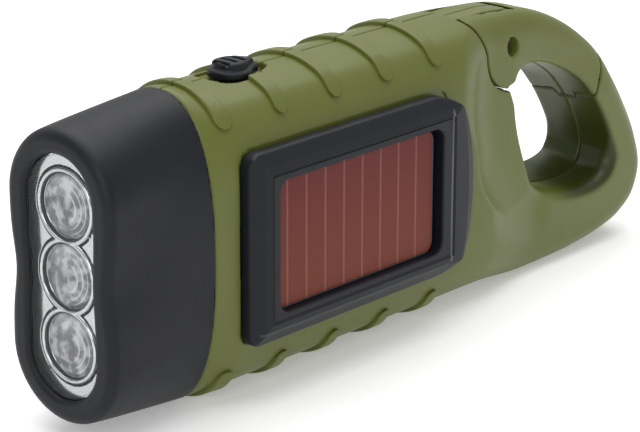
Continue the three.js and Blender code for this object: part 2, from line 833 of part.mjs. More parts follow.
function switchKnob() {
  const pad = roundedRectangle(
    knobFront, knobFront + knobPadLength, -knobHalfWidth, knobHalfWidth, knobHalfWidth / 2,
  );
  const neck = roundedRectangle(
    knobFront + knobPadLength / 2,
    knobFront + knobLength,
    -knobNeckHalfWidth,
    knobNeckHalfWidth,
    knobNeckHalfWidth / 2,
  );
  const grips = Array.from({ length: gripCount }, (_, i) => {
    const x = knobFront + knobPadLength / 2 + (i - (gripCount - 1) / 2) * gripPitch;
    return block(
      x - gripWidth / 2,
      x + gripWidth / 2,
      -gripHalfLength,
      gripHalfLength,
      knobLevel + knobRise - gripDepth,
      knobLevel + 2 * knobRise,
    );
  });
  const stem = block(
    knobMiddle - switchStemHalfWidth,
    knobMiddle + switchStemHalfWidth,
    -switchStemHalfWidth,
    switchStemHalfWidth,
    knobLevel - switchStem,
    knobLevel + knobRise / 2,
  );
  return cut(
    unite(
      slab(pad, pocketFloor + fitGap, knobLevel + knobRise, knobEdge),
      slab(neck, pocketFloor + fitGap, knobLevel + knobRise - gripDepth, knobEdge),
      stem,
    ),
    ...grips,
  );
}

const boardTop = boardLevel + boardThickness;
const switchBodyTop = insideHalfHeight - fitGap - partingGap;

// The switch's own case, open on top where its lever slides.
function switchBody() {
  const halfLength = switchBodyLength / 2;
  const outer = block(
    knobMiddle - halfLength, knobMiddle + halfLength,
    -switchBodyHalfWidth, switchBodyHalfWidth, boardTop, switchBodyTop,
  );
  const track = block(
    knobMiddle - switchStemHalfWidth - switchForward - fitGap,
    knobMiddle + switchStemHalfWidth + switchBack + fitGap,
    -switchStemHalfWidth - fitGap,
    switchStemHalfWidth + fitGap,
    knobLevel - switchStem - fitGap,
    switchBodyTop + overrun,
  );
  return cut(outer, track);
}

const controlBoard = () =>
  block(
    knobMiddle - boardLength / 2,
    knobMiddle + boardLength / 2,
    -boardHalfWidth,
    boardHalfWidth,
    boardLevel,
    boardTop,
  );

// Shells

const screwPlaces = [
  ...bodyScrewShares.map((up) => ({ x: cavityEnd - wall / 2, z: up * bodyHalfHeight })),
  ...ringScrewShares.map(tailPoint).map((point) => ({ x: point.x, z: point.y })),
];

// The middle of the side wall, where what stands on that wall begins.
const wallMiddle = insideHalfWidth + wall / 2;

const screwSeatAt = (place) =>
  (place.x < tailStart ? bodyHalfWidth : ringHalfWidth) - screwRecess;

// What both shells share before they are parted: the body, its ribs and the ring, cut by the scoops, the
// hole and the gate.
function wholeShell() {
  const body = bodyForm(0, tailStart + tailLength / 2);
  const ribs = Array.from({ length: ribCount }, (_, i) => i * ribPitch)
    .flatMap((x) => [rib(x, 1), rib(x, -1)]);
  const hole = plate(holeOutline(), -2 * bodyHalfWidth, 2 * bodyHalfWidth);
  return cut(unite(body, tailForm(), ...ribs), scoopTool(-1), scoopTool(1), hole);
}

function gateWeb(outer) {
  const reach = gatePinX - cavityEnd;
  const neck = new THREE.Shape([
    new THREE.Vector2(gatePinX, gatePinZ + webRadius),
    new THREE.Vector2(gatePinX - reach, gatePinZ + webRadius),
    new THREE.Vector2(gatePinX - reach, gatePinZ - webRadius),
    new THREE.Vector2(gatePinX - webRadius / 2, gatePinZ - webRadius * webShare),
  ]);
  const round = rodY(gatePinX, gatePinZ, webRadius, -webHalfWidth, webHalfWidth);
  return unite(plate(neck, -webHalfWidth, webHalfWidth), round).intersect(outer);
}

const springHalfWidth = (springTurns * springPitch) / 2 + springWire;
const springSpace = () =>
  rodY(
    gatePinX, gatePinZ, Math.hypot(springRadius, springLeg) + springWire,
    -springHalfWidth, springHalfWidth,
  );

function shellBody(outer) {
  const cavity = bodyForm(wall, cavityEnd);
  const mouth = block(
    bodyFront - overrun, bodyFront + partingGap / 3,
    -2 * bodyHalfWidth, 2 * bodyHalfWidth, -2 * bodyHalfHeight, 2 * bodyHalfHeight,
  );
  const solar = plate(
    roundedRectangle(
      bezelStart - partingGap, bezelEnd + partingGap,
      -bezelHalfHeight - partingGap, bezelHalfHeight + partingGap, bezelCorner,
    ),
    -2 * bodyHalfWidth,
    bezelSeat + partingGap,
  );
  const knobPocket = [[knobPadLength, knobHalfWidth], [knobLength, knobNeckHalfWidth]].map(
    ([length, halfWidth]) => {
      const half = halfWidth + knobEdge;
      const swept = roundedRectangle(
        knobFront - switchForward - knobEdge, knobFront + length + switchBack + knobEdge, -half, half,
        halfWidth,
      );
      return slab(swept, pocketFloor, 2 * bodyHalfHeight);
    },
  );
  const slot = block(
    knobMiddle - switchStemHalfWidth - switchForward - fitGap,
    knobMiddle + switchStemHalfWidth + switchBack + fitGap,
    -switchStemHalfWidth - fitGap,
    switchStemHalfWidth + fitGap,
    0,
    2 * bodyHalfHeight,
  );
  const bossTop = plateRightBottom + plateThickness + plateGap;
  const bearing = rodY(crankX, 0, bossRadius, bossTop, bodyHalfWidth - wall / 2);
  const towers = screwPlaces
    .filter((place) => place.x < tailStart)
    .map(({ x, z }) => rodY(x, z, screwHead + wall / 2, -wallMiddle, wallMiddle));
  const inner = cut(outer, cavity, mouth);
  const filled = unite(inner, bearing, ...[...towers, boardLedge()].map((piece) => piece.intersect(outer)));
  const ring = cut(filled, gateRegion(-gateGap));
  const webbed = unite(ring, gateWeb(outer));
  const bore = rodY(crankX, 0, shaftRadius + runningGap, 0, 2 * bodyHalfWidth);
  const pin = rodY(gatePinX, gatePinZ, gatePinRadius + runningGap, -bodyHalfWidth, bodyHalfWidth);
  const screws = screwPlaces.flatMap((place) => {
    const seat = screwSeatAt(place);
    return [
      rodY(place.x, place.z, screwHead + fitGap, seat - screwHeadHeight, 2 * bodyHalfWidth, smallSteps),
      rodY(place.x, place.z, screwRadius + runningGap, -screwGrip - fitGap, seat, smallSteps),
    ];
  });
  return cut(webbed, solar, ...knobPocket, slot, bore, pin, springSpace(), ...screws);
}

// Two rails inside the shells that carry the control board.
function boardLedge() {
  const half = boardLength / 2;
  return unite(
    ...[-1, 1].map((side) => {
      const inner = side * (boardHalfWidth - wall / 2);
      const outer = side * wallMiddle;
      return block(
        knobMiddle - half, knobMiddle + half,
        Math.min(inner, outer), Math.max(inner, outer),
        boardLevel - wall - partingGap, boardLevel - partingGap / 3,
      );
    }),
  );
}

function parted(whole) {
  const far = 2 * tailEnd;
  const half = partingGap / 2;
  const left = whole.intersect(block(-far, far, -far, -half, -far, far));
  const right = whole.intersect(block(-far, far, half, far, -far, far));
  return [left, right];
}

// Gate

function gateBody(outer) {
  const pocketRound = rodY(
    gatePinX, gatePinZ, webRadius + gateGap, -webHalfWidth - gateGap, webHalfWidth + gateGap,
  );
  const pocketLeft = block(
    cavityEnd, gatePinX,
    -webHalfWidth - gateGap, webHalfWidth + gateGap,
    gatePinZ - 2 * webRadius, 2 * bodyHalfHeight,
  );
  const pin = rodY(gatePinX, gatePinZ, gatePinRadius + runningGap, -bodyHalfWidth, bodyHalfWidth);
  return cut(outer.intersect(gateRegion(0)), pocketRound, pocketLeft, pin);
}

const pinInset = 2.6;
const gatePin = () =>
  rodY(gatePinX, gatePinZ, gatePinRadius, pinInset - ringHalfWidth, ringHalfWidth - pinInset);

// The gate's torsion spring: one unbroken wire wound round the pin, with a straight leg at each end.
class SpringPath extends THREE.Curve {
  getPoint(t) {
    const coil = springTurns * 2 * Math.PI * springRadius;
    const length = coil + 2 * springLeg;
    const along = t * length - springLeg;
    const turn = (Math.min(Math.max(along, 0), coil) / coil) * springTurns * 2 * Math.PI;
    const past = along < 0 ? along : Math.max(along - coil, 0);
    const half = (springTurns * springPitch) / 2;
    return new THREE.Vector3(
      springRadius * Math.cos(turn) - past * Math.sin(turn),
      (springPitch * turn) / (2 * Math.PI) - half,
      springRadius * Math.sin(turn) + past * Math.cos(turn),
    );
  }
}

function gateSpring() {
  const wire = new THREE.Shape();
  wire.absarc(0, 0, springWire / 2, 0, 2 * Math.PI);
  const geometry = new THREE.ExtrudeGeometry(wire, {
    steps: springTurns * springSteps,
    extrudePath: new SpringPath(),
    curveSegments: 3,
  });
  return solid(geometry);
}

// Least distance between two turns of the wire, measured on points a turn apart or more.
function springSelfGap() {
  const points = new SpringPath().getPoints(springTurns * roundSteps * 2);
  let least = Infinity;
  points.forEach((a, i) =>
    points.slice(i + roundSteps).forEach((b) => {
      least = Math.min(least, a.distanceTo(b) - springWire);
    }),
  );
  return least;
}

// Crank, drawn about its own axis with the arm towards the head

function crankArm() {
  const lever = plate(
    capsule(0, 0, -crankThrow, 0, armHalfWidth), armBottom, armTop, armEdge,
  );
  const hub = turnedY(
    [
      [0, armBottom],
      [hubRadius - armEdge, armBottom],
      [hubRadius, armBottom + armEdge],
      [hubRadius, armTop - armEdge],
      [hubRadius - armEdge, armTop],
      [0, armTop],
    ],
    0,
    0,
  );
  const slotStart = -crankThrow - foldBlock - knobSlotGap;
  const slotEnd = -crankThrow + foldBlock + knobSlotGap + knobSleeve + knobSlotGap;
  const slotHalf = knobRadius + knobSlotGap;
  const slot = plate(
    roundedRectangle(slotStart, slotEnd, -slotHalf, slotHalf, knobSlotGap),
    armBottom - overrun, armTop + overrun, 0, 3,
  );
  const bore = rodY(0, 0, shaftRadius + runningGap, armBottom - overrun, armTop - hubWeb);
  const screwHole = rodY(0, 0, crankScrewRadius + runningGap, armBottom, armTop + overrun);
  const recess = rodY(0, 0, crankScrewHead + fitGap, armTop - headRecess, armTop + overrun);
  const foldHole = rodZ(-crankThrow, foldLevel, foldPinRadius + runningGap, -foldPinReach, 2 * armHalfWidth);
  return cut(unite(lever, hub), slot, bore, screwHole, recess, foldHole);
}

// A round rod along z through (x, y).
function rodZ(x, y, radius, zLow, zHigh, steps = roundSteps) {
  const geometry = new THREE.CylinderGeometry(radius, radius, zHigh - zLow, steps);
  return solid(geometry.rotateX(Math.PI / 2).translate(x, y, (zLow + zHigh) / 2));
}

const hubWeb = headRecess + wall;
const foldLevel = (armBottom + armTop) / 2;
const foldPinReach = armHalfWidth - wall / 2;
const shaftBottom = canTop;
const shaftTop = armTop - hubWeb - partingGap;

function crankShaft() {
  const shaft = rodY(0, 0, shaftRadius, shaftBottom, shaftTop);
  const pilot = rodY(0, 0, crankScrewRadius + runningGap, shaftTop - crankScrewLength, shaftTop + overrun);
  return cut(shaft, pilot);
}

function screwForm(radius, head, headHeight, seat, length, x = 0, z = 0) {
  return turnedY(
    [
      [0, seat - length],
      [radius * screwTipShare, seat - length],
      [radius, seat - length + radius],
      [radius, seat],
      [head, seat],
      [head, seat + headHeight * screwShoulderShare],
      [head * screwCrownShare, seat + headHeight],
      [0, seat + headHeight],
    ],
    x,
    z,
    smallSteps,
  );
}

const crankScrew = () =>
  screwForm(
    crankScrewRadius, crankScrewHead, headRecess - fitGap / 2, armTop - headRecess,
    crankScrewLength - wall,
  );

const foldPin = () => rodZ(-crankThrow, foldLevel, foldPinRadius, -foldPinReach + fitGap, foldPinReach);

const sleeveStart = -crankThrow + foldBlock + knobSlotGap;
const spindleEnd = sleeveStart + knobSleeve - wall;

function knobStem() {
  const barrel = rodZ(-crankThrow, foldLevel, foldBlock, -foldBlockHalfWidth, foldBlockHalfWidth);
  const spindle = rodX(foldLevel, 0, spindleRadius, -crankThrow + foldPinRadius, spindleEnd, smallSteps);
  const hole = rodZ(
    -crankThrow, foldLevel, foldPinRadius + runningGap, -2 * foldBlockHalfWidth, 2 * foldBlockHalfWidth,
  );
  return cut(unite(barrel, spindle), hole);
}

function crankKnob() {
  const end = sleeveStart + knobSleeve;
  const bore = spindleRadius + runningGap;
  const edge = knobRadius / 6;
  return turnedX(
    [
      [bore, sleeveStart],
      [knobRadius - edge, sleeveStart],
      [knobRadius, sleeveStart + edge],
      [knobRadius, end - 2 * edge],
      [knobRadius - edge / 2, end - edge / 2],
      [knobRadius - 2 * edge, end],
      [0, end],
      [0, spindleEnd + fitGap],
      [bore, spindleEnd + fitGap],
      [bore, sleeveStart],
    ],
    foldLevel,
    0,
  );
}

// Gearbox

const driveGear = () => gearSolid(driveTeeth, shaftRadius + runningGap, driveLevel);
const firstGear = () => compoundGear(firstTeeth, firstLevel, driveLevel);
const secondGear = () => compoundGear(secondTeeth, secondLevel, firstLevel);
const rotorPinion = () => gearSolid(pinionTeeth, rotorShaftRadius + runningGap, secondLevel);

// One pillar beside each large gear.
const pillarHolders = [[crankAxis, driveTeeth], [secondAxis, secondTeeth], [firstAxis, firstTeeth]];
const pillarPlaces = pillarHolders.map(([axis, teeth], i) =>
  step(axis, (gearModule * teeth) / 2 + pillarReaches[i] * pillarRadius, pillarAngles[i]));

function plateForm(yLow, yHigh) {
  const links = [
    [crankAxis, firstAxis], [firstAxis, secondAxis], [secondAxis, rotorAxis],
  ].map(([a, b]) => plate(capsule(a.x, a.z, b.x, b.z, plateRadius), yLow, yHigh, 0, 4));
  const arms = pillarHolders.map(([axis], i) =>
    plate(
      capsule(axis.x, axis.z, pillarPlaces[i].x, pillarPlaces[i].z, pillarArmShare * pillarRadius),
      yLow, yHigh, 0, 3,
    ),
  );
  return unite(...links, ...arms);
}

const axleHoles = (radius) => [firstAxis, secondAxis].map(({ x, z }) =>
  rodY(x, z, radius, -2 * bodyHalfWidth, 2 * bodyHalfWidth, smallSteps));

const shaftHole = () => rodY(crankX, 0, shaftRadius + runningGap, -2 * bodyHalfWidth, 2 * bodyHalfWidth);
const rotorHole = () =>
  rodY(rotorAxis.x, rotorAxis.z, rotorShaftRadius + runningGap, -2 * bodyHalfWidth, 2 * bodyHalfWidth,
    smallSteps);

function plateLeft() {
  const form = plateForm(plateLeftTop - plateThickness, plateLeftTop);
  const pillars = pillarPlaces.map(({ x, z }) =>
    rodY(x, z, pillarRadius, plateLeftTop - plateThickness, plateRightBottom, smallSteps));
  const motor = rodY(
    rotorAxis.x, rotorAxis.z, canRadius + wall / 2, plateLeftTop - plateThickness, plateLeftTop,
  );
  return cut(unite(form, motor, ...pillars), ...axleHoles(axleRadius + runningGap), shaftHole(), rotorHole());
}

function plateRight() {
  const form = plateForm(plateRightBottom, plateRightBottom + plateThickness);
  return cut(form, ...axleHoles(axleRadius + runningGap), shaftHole());
}

const axle = (axis) =>
  rodY(axis.x, axis.z, axleRadius, plateLeftTop - plateThickness, plateRightBottom + plateThickness,
    smallSteps);

// Generator

const rotorBottom = canBottom + canWall + plateGap;

function generatorCan() {
  return turnedY(
    [
      [0, canBottom],
      [canRadius, canBottom],
      [canRadius, canTop],
      [canRadius - canWall, canTop],
      [canRadius - canWall, canBottom + canWall],
      [0, canBottom + canWall],
    ],
    rotorAxis.x,
    rotorAxis.z,
  );
}

const ring = (inner, outer, yLow, yHigh) =>
  turnedY(
    [[inner, yLow], [outer, yLow], [outer, yHigh], [inner, yHigh], [inner, yLow]],
    rotorAxis.x,
    rotorAxis.z,
  );

const statorCoil = () =>
  ring(...coilShares.map((share) => share * canRadius), canBottom + canWall + partingGap, canTop - fitGap);
const rotorMagnet = () =>
  turnedY(
    [
      [rotorShaftRadius + runningGap, rotorBottom],
      [magnetShare * canRadius, rotorBottom],
      [magnetShare * canRadius, canTop - plateGap],
      [rotorShaftRadius + runningGap, canTop - plateGap],
      [rotorShaftRadius + runningGap, rotorBottom],
    ],
    0,
    0,
  );
const rotorShaft = () =>
  rodY(0, 0, rotorShaftRadius, canBottom + canWall + partingGap, secondLevel + gearWidth + plateGap,
    smallSteps);

// Battery: a stack of button cells with a step at each joint
function batteryPack() {
  const cell = batteryLength / cellCount;
  const profile = [[0, batteryStart], [batteryRadius - cellSkin, batteryStart]];
  for (let i = 0; i < cellCount; i++) {
    const x = batteryStart + i * cell;
    profile.push(
      [batteryRadius, x + cellSkin],
      [batteryRadius, x + cell - cellSkin],
      [batteryRadius - cellSkin, x + cell],
    );
  }
  return turnedX([...profile, [0, batteryStart + batteryLength]], batteryY, batteryZ);
}

// Ribs of the left shell that hold the battery at both ends are part of that shell
function batteryCradle() {
  return [batteryStart - fitGap - wall, batteryStart + batteryLength + fitGap].map((x) =>
    block(
      x, x + wall, -wallMiddle, batteryY, -insideHalfHeight - wall / 2, batteryZ + batteryRadius / 2,
    ));
}

const shellScrew = (place) =>
  screwForm(
    screwRadius, screwHead, screwHeadHeight, screwSeatAt(place) - screwHeadHeight,
    screwSeatAt(place) - screwHeadHeight + screwGrip, place.x, place.z,
  );

// Materials

const paint = (color, roughness, metalness = 0) =>
  new THREE.MeshStandardMaterial({ color, roughness, metalness });
const olive = () => paint(0x6b703a, 0.45);
const blackPlastic = () => paint(0x313336, 0.5);
const steel = () => paint(0xb9bcc0, 0.35, 1);
const whitePlastic = () => paint(0xe4e1d6, 0.5);
const chrome = () => paint(0xdcdfe3, 0.12, 1);

// Assembly

const flashlight = new THREE.Group();
const model = new THREE.Group();
flashlight.add(model);

function add(parent, name, shape, material, place = [0, 0, 0], turn = 0) {
  const mesh = new THREE.Mesh(geometryOf(shape), material);
  mesh.name = name;
  mesh.position.set(...place);
  mesh.rotation.y = turn;
  parent.add(mesh);
}

const whole = wholeShell();
const [shellLeft, shellRight] = parted(shellBody(whole));
const [gateLeft, gateRight] = parted(gateBody(whole));
const housing = new THREE.Group();
add(housing, "shell_left", unite(shellLeft, ...batteryCradle().map((piece) => piece.intersect(whole))), olive());
add(housing, "shell_right", shellRight, olive());
add(housing, "head_shell", headShell(), blackPlastic());
add(housing, "head_lens", headLens(), paint(0xf2f6f8, 0.05));
add(housing, "reflector", reflector(), chrome());
["led_upper", "led_middle", "led_lower"].forEach((name, i) => {
  add(housing, name, led(ledHeights[i]), paint(0xf4f5ee, 0.1));
});
add(housing, "led_board", ledBoard(), paint(0x2c5a38, 0.6));
add(housing, "solar_bezel", solarBezel(), blackPlastic());
add(housing, "solar_cell", solarCell(), paint(0x743c37, 0.25));
add(housing, "switch_body", switchBody(), steel());
add(housing, "control_board", controlBoard(), paint(0x2c5a38, 0.6));
add(housing, "gearbox_plate_left", plateLeft(), whitePlastic());
add(housing, "gearbox_plate_right", plateRight(), whitePlastic());
add(housing, "first_axle", axle(firstAxis), steel());
add(housing, "second_axle", axle(secondAxis), steel());
add(housing, "generator_can", generatorCan(), steel());
add(housing, "stator_coil", statorCoil(), paint(0xb56a35, 0.4, 0.6));
add(housing, "battery_pack", batteryPack(), paint(0x3d6f8c, 0.4));
add(housing, "gate_pin", gatePin(), steel());
screwPlaces.forEach((place, i) => {
  add(housing, `shell_screw_${i + 1}`, shellScrew(place), steel());
});
model.add(housing);

const slider = new THREE.Group();
add(slider, "switch_knob", switchKnob(), blackPlastic());
model.add(slider);

const gate = new THREE.Group();
add(gate, "gate_left", gateLeft, olive());
add(gate, "gate_right", gateRight, olive());
add(gate, "gate_spring", gateSpring(), steel(), [gatePinX, 0, gatePinZ], inRadians(springTurn));
model.add(gate);

const crank = new THREE.Group();
crank.position.set(crankX, 0, 0);
add(crank, "crank_arm", crankArm(), blackPlastic());
add(crank, "crank_screw", crankScrew(), steel());
add(crank, "crank_shaft", crankShaft(), steel());
add(crank, "fold_pin", foldPin(), steel());
add(crank, "knob_stem", knobStem(), blackPlastic());
add(crank, "crank_knob", crankKnob(), blackPlastic());
add(crank, "drive_gear", driveGear(), whitePlastic(), [0, 0, 0], -driveTurn);
model.add(crank);

// Pieces that turn on one of the gearbox's axes
function onAxis(axis, turn, pieces) {
  const spindle = new THREE.Group();
  spindle.position.set(axis.x, 0, axis.z);
  pieces.forEach(([name, shape, material]) => add(spindle, name, shape, material, [0, 0, 0], -turn));
  model.add(spindle);
}

onAxis(firstAxis, firstPinionTurn, [["first_gear", firstGear(), whitePlastic()]]);
onAxis(secondAxis, secondPinionTurn, [["second_gear", secondGear(), whitePlastic()]]);
onAxis(rotorAxis, rotorTurn, [
  ["rotor_pinion", rotorPinion(), steel()],
  ["rotor_shaft", rotorShaft(), steel()],
  ["rotor_magnet", rotorMagnet(), paint(0x4a4a4d, 0.4, 0.8)],
]);

console.log(`gate spring: least gap between turns ${springSelfGap().toFixed(2)} mm`);

// The object stands with the middle of its own box over the origin and its lowest rib at zero
const bounds = new THREE.Box3().setFromObject(flashlight);
model.position.set(
  -(bounds.min.x + bounds.max.x) / 2,
  -(bounds.min.y + bounds.max.y) / 2,
  -bounds.min.z,
);

export default flashlight;
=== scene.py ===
"""Hand crank flashlight: olive two-part body, black lamp head, solar panel, crank and spring-gate ring."""
import json
import math

import bmesh
import bpy
import numpy as np
from mathutils import Matrix, Vector


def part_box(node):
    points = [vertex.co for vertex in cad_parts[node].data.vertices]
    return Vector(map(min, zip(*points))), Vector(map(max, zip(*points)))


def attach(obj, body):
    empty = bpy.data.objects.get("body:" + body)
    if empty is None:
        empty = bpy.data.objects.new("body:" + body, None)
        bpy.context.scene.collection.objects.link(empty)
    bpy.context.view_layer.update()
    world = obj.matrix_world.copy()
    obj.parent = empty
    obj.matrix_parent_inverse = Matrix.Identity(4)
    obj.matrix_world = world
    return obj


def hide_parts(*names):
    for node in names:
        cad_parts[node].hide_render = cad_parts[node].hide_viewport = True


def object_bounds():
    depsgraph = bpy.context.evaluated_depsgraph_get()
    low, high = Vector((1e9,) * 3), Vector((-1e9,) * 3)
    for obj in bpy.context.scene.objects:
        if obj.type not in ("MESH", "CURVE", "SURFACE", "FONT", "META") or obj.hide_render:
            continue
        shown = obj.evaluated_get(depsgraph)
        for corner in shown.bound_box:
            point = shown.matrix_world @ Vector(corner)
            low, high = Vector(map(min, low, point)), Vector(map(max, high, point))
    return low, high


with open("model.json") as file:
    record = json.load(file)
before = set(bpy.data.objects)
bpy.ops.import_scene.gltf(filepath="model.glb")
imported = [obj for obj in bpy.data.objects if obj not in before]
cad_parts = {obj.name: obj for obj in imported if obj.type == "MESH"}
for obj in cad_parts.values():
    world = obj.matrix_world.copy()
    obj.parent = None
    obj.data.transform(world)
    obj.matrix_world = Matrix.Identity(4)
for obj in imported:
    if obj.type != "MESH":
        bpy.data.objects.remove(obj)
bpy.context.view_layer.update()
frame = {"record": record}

# Sizes of the object in millimetres. x runs from the first grip rib to the tail, y from the panel side to
# the crank side with the parting plane at zero, z up from the middle of the body.

# Body. Screws are given by x and z.
BODY_HALF_WIDTH = 12.0
BODY_HALF_HEIGHT = 23.7
CROWN_RADIUS = 14.1
BODY_CORNER = 5.0
BODY_FRONT = -4.0
BODY_FULL = 2.0
WALL = 2.0
CAVITY_END = 54.0
RIB_PITCH = 12.0
RIB_COUNT = 5
RIB_HALF_WIDTH = 1.3
RIB_HEIGHT = 0.7
RIB_REACH = 18.8
SEAM_GAP = 0.08
SEAM_EDGE = 0.3
SCREWS = ((53.0, 12.32), (53.0, -14.22), (90.22, -18.72), (105.52, -7.11))
SCREW_HEAD = 2.1
SCREW_SEAT = 3.5

# Lamp head. The flange of an LED is its radius, front and back.
HEAD_FRONT = -24.7
HEAD_REAR_HALF_HEIGHT = 24.1
HEAD_REAR_HALF_WIDTH = 11.3
HEAD_FRONT_HALF_HEIGHT = 22.0
HEAD_FRONT_HALF_WIDTH = 10.8
HEAD_WAIST = 0.6
HEAD_EDGE = 1.6
LIP_END = -0.6
WINDOW_HALF_WIDTH = 6.9
WINDOW_RISE = 11.6
WINDOW_WAIST = 0.35
CUP_FACE = -23.3
CUP_PITCH = 10.55
CUP_RADIUS = 4.95
CUP_THROAT = 2.9
CUP_DEPTH = 7.0
LED_RADIUS = 2.5
LED_DOME = -20.52
LED_FLANGE = (2.85, -15.42, -14.42)
RIM_RADIUS = 5.4
CHANNEL_RADIUS = 5.95

# Tail ring and its gate. The pin and the middle of the hole are places; the seam's turn is in degrees.
TAIL_START = 58.0
TAIL_END = 111.7
RING_HALF_WIDTH = 7.2
RING_EDGE = 4.5
SCOOP_RUN = 12.0
HOLE_MIDDLE = (88.0, 0.0, 0.0)
GATE_PIN = (71.4, 16.8)
GATE_PIN_RADIUS = 1.5
GATE_KNUCKLE = 7.0
GATE_SEAM = 212
GATE_REACH = 27.0
GATE_GAP = 0.4
GATE_STEP = 1.6
GATE_SHUT = 0.2
WEB_HALF_WIDTH = 3.2
WEB_RADIUS = 6.0

# Solar bezel and cell. A rectangle is x from, x to, z from, z to; the wing is where its slope starts, where
# its edge ends, both in x, and its seat in y; the painted highlight lines on the bezel's edges are at an x
# and at a z below the middle.
BEZEL = (1.4, 49.0, -15.0, 15.0)
BEZEL_SEAT = -11.0
BEZEL_WING = (47.3, 53.8, -11.55)
WING_BOW = 0.0145
WINDOW_END = 44.5
HIGHLIGHT_LINE = (46.9, 12.9)
CELL = (6.55, 43.5, -10.3, 10.3)
FIRST_LINE, LINE_PITCH = 9.33, 4.255

# Slide knob
KNOB_FRONT = 7.8
KNOB_LENGTH = 8.6
KNOB_PAD = 6.2
PAD_HALF_WIDTH = 3.4
NECK_HALF_WIDTH = 1.7
KNOB_TOP = 25.4
PAD_EDGE = 24.2
GROOVE_PITCH = 1.7
POCKET_FLOOR = 22.7
STEM_MIDDLE = 12.8
STEM_HALF_WIDTH = 1.4
STEM_FOOT = 18.5
STEM_SLOT = (9.0, 15.6, -1.7, 1.7)

# Crank
CRANK_X = 38.0
CRANK_THROW = 33.0
ARM_END = CRANK_X - CRANK_THROW
ARM_SLOT = (ARM_END - 3.5, ARM_END + 19.5, -3.7, 3.7)
ARM_LOW = 12.6
ARM_TOP = 19.2
ARM_LEVEL = (ARM_LOW + ARM_TOP) / 2
ARM_HALF_WIDTH = 6.5
HUB_RADIUS = 8.0
SHAFT_RADIUS = 2.5
PIN_PLAY = 0.12
ARM_SCREW_BORE = 1.32
FOLD_PIN_BORE = 1.12
KNOB_RADIUS = 3.2
SLEEVE_BORE = 1.62
SLEEVE_PITCH = 2.6

# Photograph's view, fitted to the body: the camera's place in the sizes above, and its long lens
EYE = (-261.7, -260.1, 125.9)
AZIMUTH, ELEVATION, ROLL = math.radians(-48.41), math.radians(18.37), math.radians(0.14)
FOCAL_PIXELS, IMAGE_WIDTH, SENSOR = 2611.98, 640, 36.0
LAMP_TARGET = (0, 0, 0.02)


def frame_shift():
    """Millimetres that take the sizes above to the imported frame, found from the head and the crank arm."""
    head_low, head_high = (np.array(c) * 1000 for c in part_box("head_shell"))
    arm_high = np.array(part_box("crank_arm")[1]) * 1000
    return np.array([head_low[0] - HEAD_FRONT, arm_high[1] - ARM_TOP, (head_low[2] + head_high[2]) / 2])


SHIFT = frame_shift()


def placed(points):
    """Points in millimetres of the object as metres in the frame."""
    return (np.asarray(points, dtype=float) + SHIFT) / 1000


# Distance fields: negative inside, in millimetres. Rounded joins and cuts give the moulded edges. A field
# times 0.85 or 0.8 makes up for a slope that is steeper than one.

def smooth(low, high, value):
    """The cubic step 3t^2 - 2t^3 from 0 at low to 1 at high; low may be the greater of the two."""
    t = np.clip((value - low) / (high - low), 0, 1)
    return t * t * (3 - 2 * t)


def common(a, b, radius):
    """Intersection whose edge is a round of the given radius."""
    u, v = np.maximum(a + radius, 0), np.maximum(b + radius, 0)
    return np.minimum(np.maximum(a, b), -radius) + np.hypot(u, v)


def joined(a, b, radius):
    """Union whose inner corner is a fillet of the given radius."""
    return -common(-a, -b, radius)


def minus(a, b, radius):
    """What is left of a once b is cut away, with a rounded edge."""
    return common(a, -b, radius)


def most(*fields):
    """The greatest of several fields, a sharp intersection."""
    result = fields[0]
    for field in fields[1:]:
        result = np.maximum(result, field)
    return result


def polygon_distance(outline, x, z):
    """Signed distance to a closed outline: least distance to its sides, negative by the crossing rule."""
    least = np.full(np.broadcast(x, z).shape, np.inf)
    inside = np.zeros(least.shape, dtype=bool)
    for (ax, az), (bx, bz) in zip(outline, np.roll(outline, -1, axis=0)):
        ex, ez = bx - ax, bz - az
        t = np.clip(((x - ax) * ex + (z - az) * ez) / (ex * ex + ez * ez), 0, 1)
        least = np.minimum(least, (x - ax - t * ex) ** 2 + (z - az - t * ez) ** 2)
        crosses = (az > z) != (bz > z)
        if ez:
            inside ^= crosses & (x < ax + ex * (z - az) / ez)
    return np.where(inside, -1, 1) * np.sqrt(least)


def spline(points, steps, closed):
    """A Catmull-Rom curve through points, as an outline with a number of steps for each span."""
    p = np.array(points, dtype=float)
    ring = np.concatenate([p[-1:], p, p[:2]]) if closed else np.concatenate([p[:1], p, p[-1:]])
    t = np.linspace(0, 1, steps, endpoint=False)[:, None]
    spans = []
    for a, b, c, d in zip(ring, ring[1:], ring[2:], ring[3:]):
        square, cube = 2 * a - 5 * b + 4 * c - d, 3 * b - a - 3 * c + d
        spans.append(0.5 * (2 * b + (c - a) * t + square * t**2 + cube * t**3))
    return np.concatenate(spans if closed else [*spans, p[-1:]])


def tail_points(shares):
    """Places given as shares of the tail's length and of the body's half height."""
    s = np.array(shares)
    return np.stack([TAIL_START + s[:, 0] * (TAIL_END - TAIL_START), s[:, 1] * BODY_HALF_HEIGHT], axis=1)


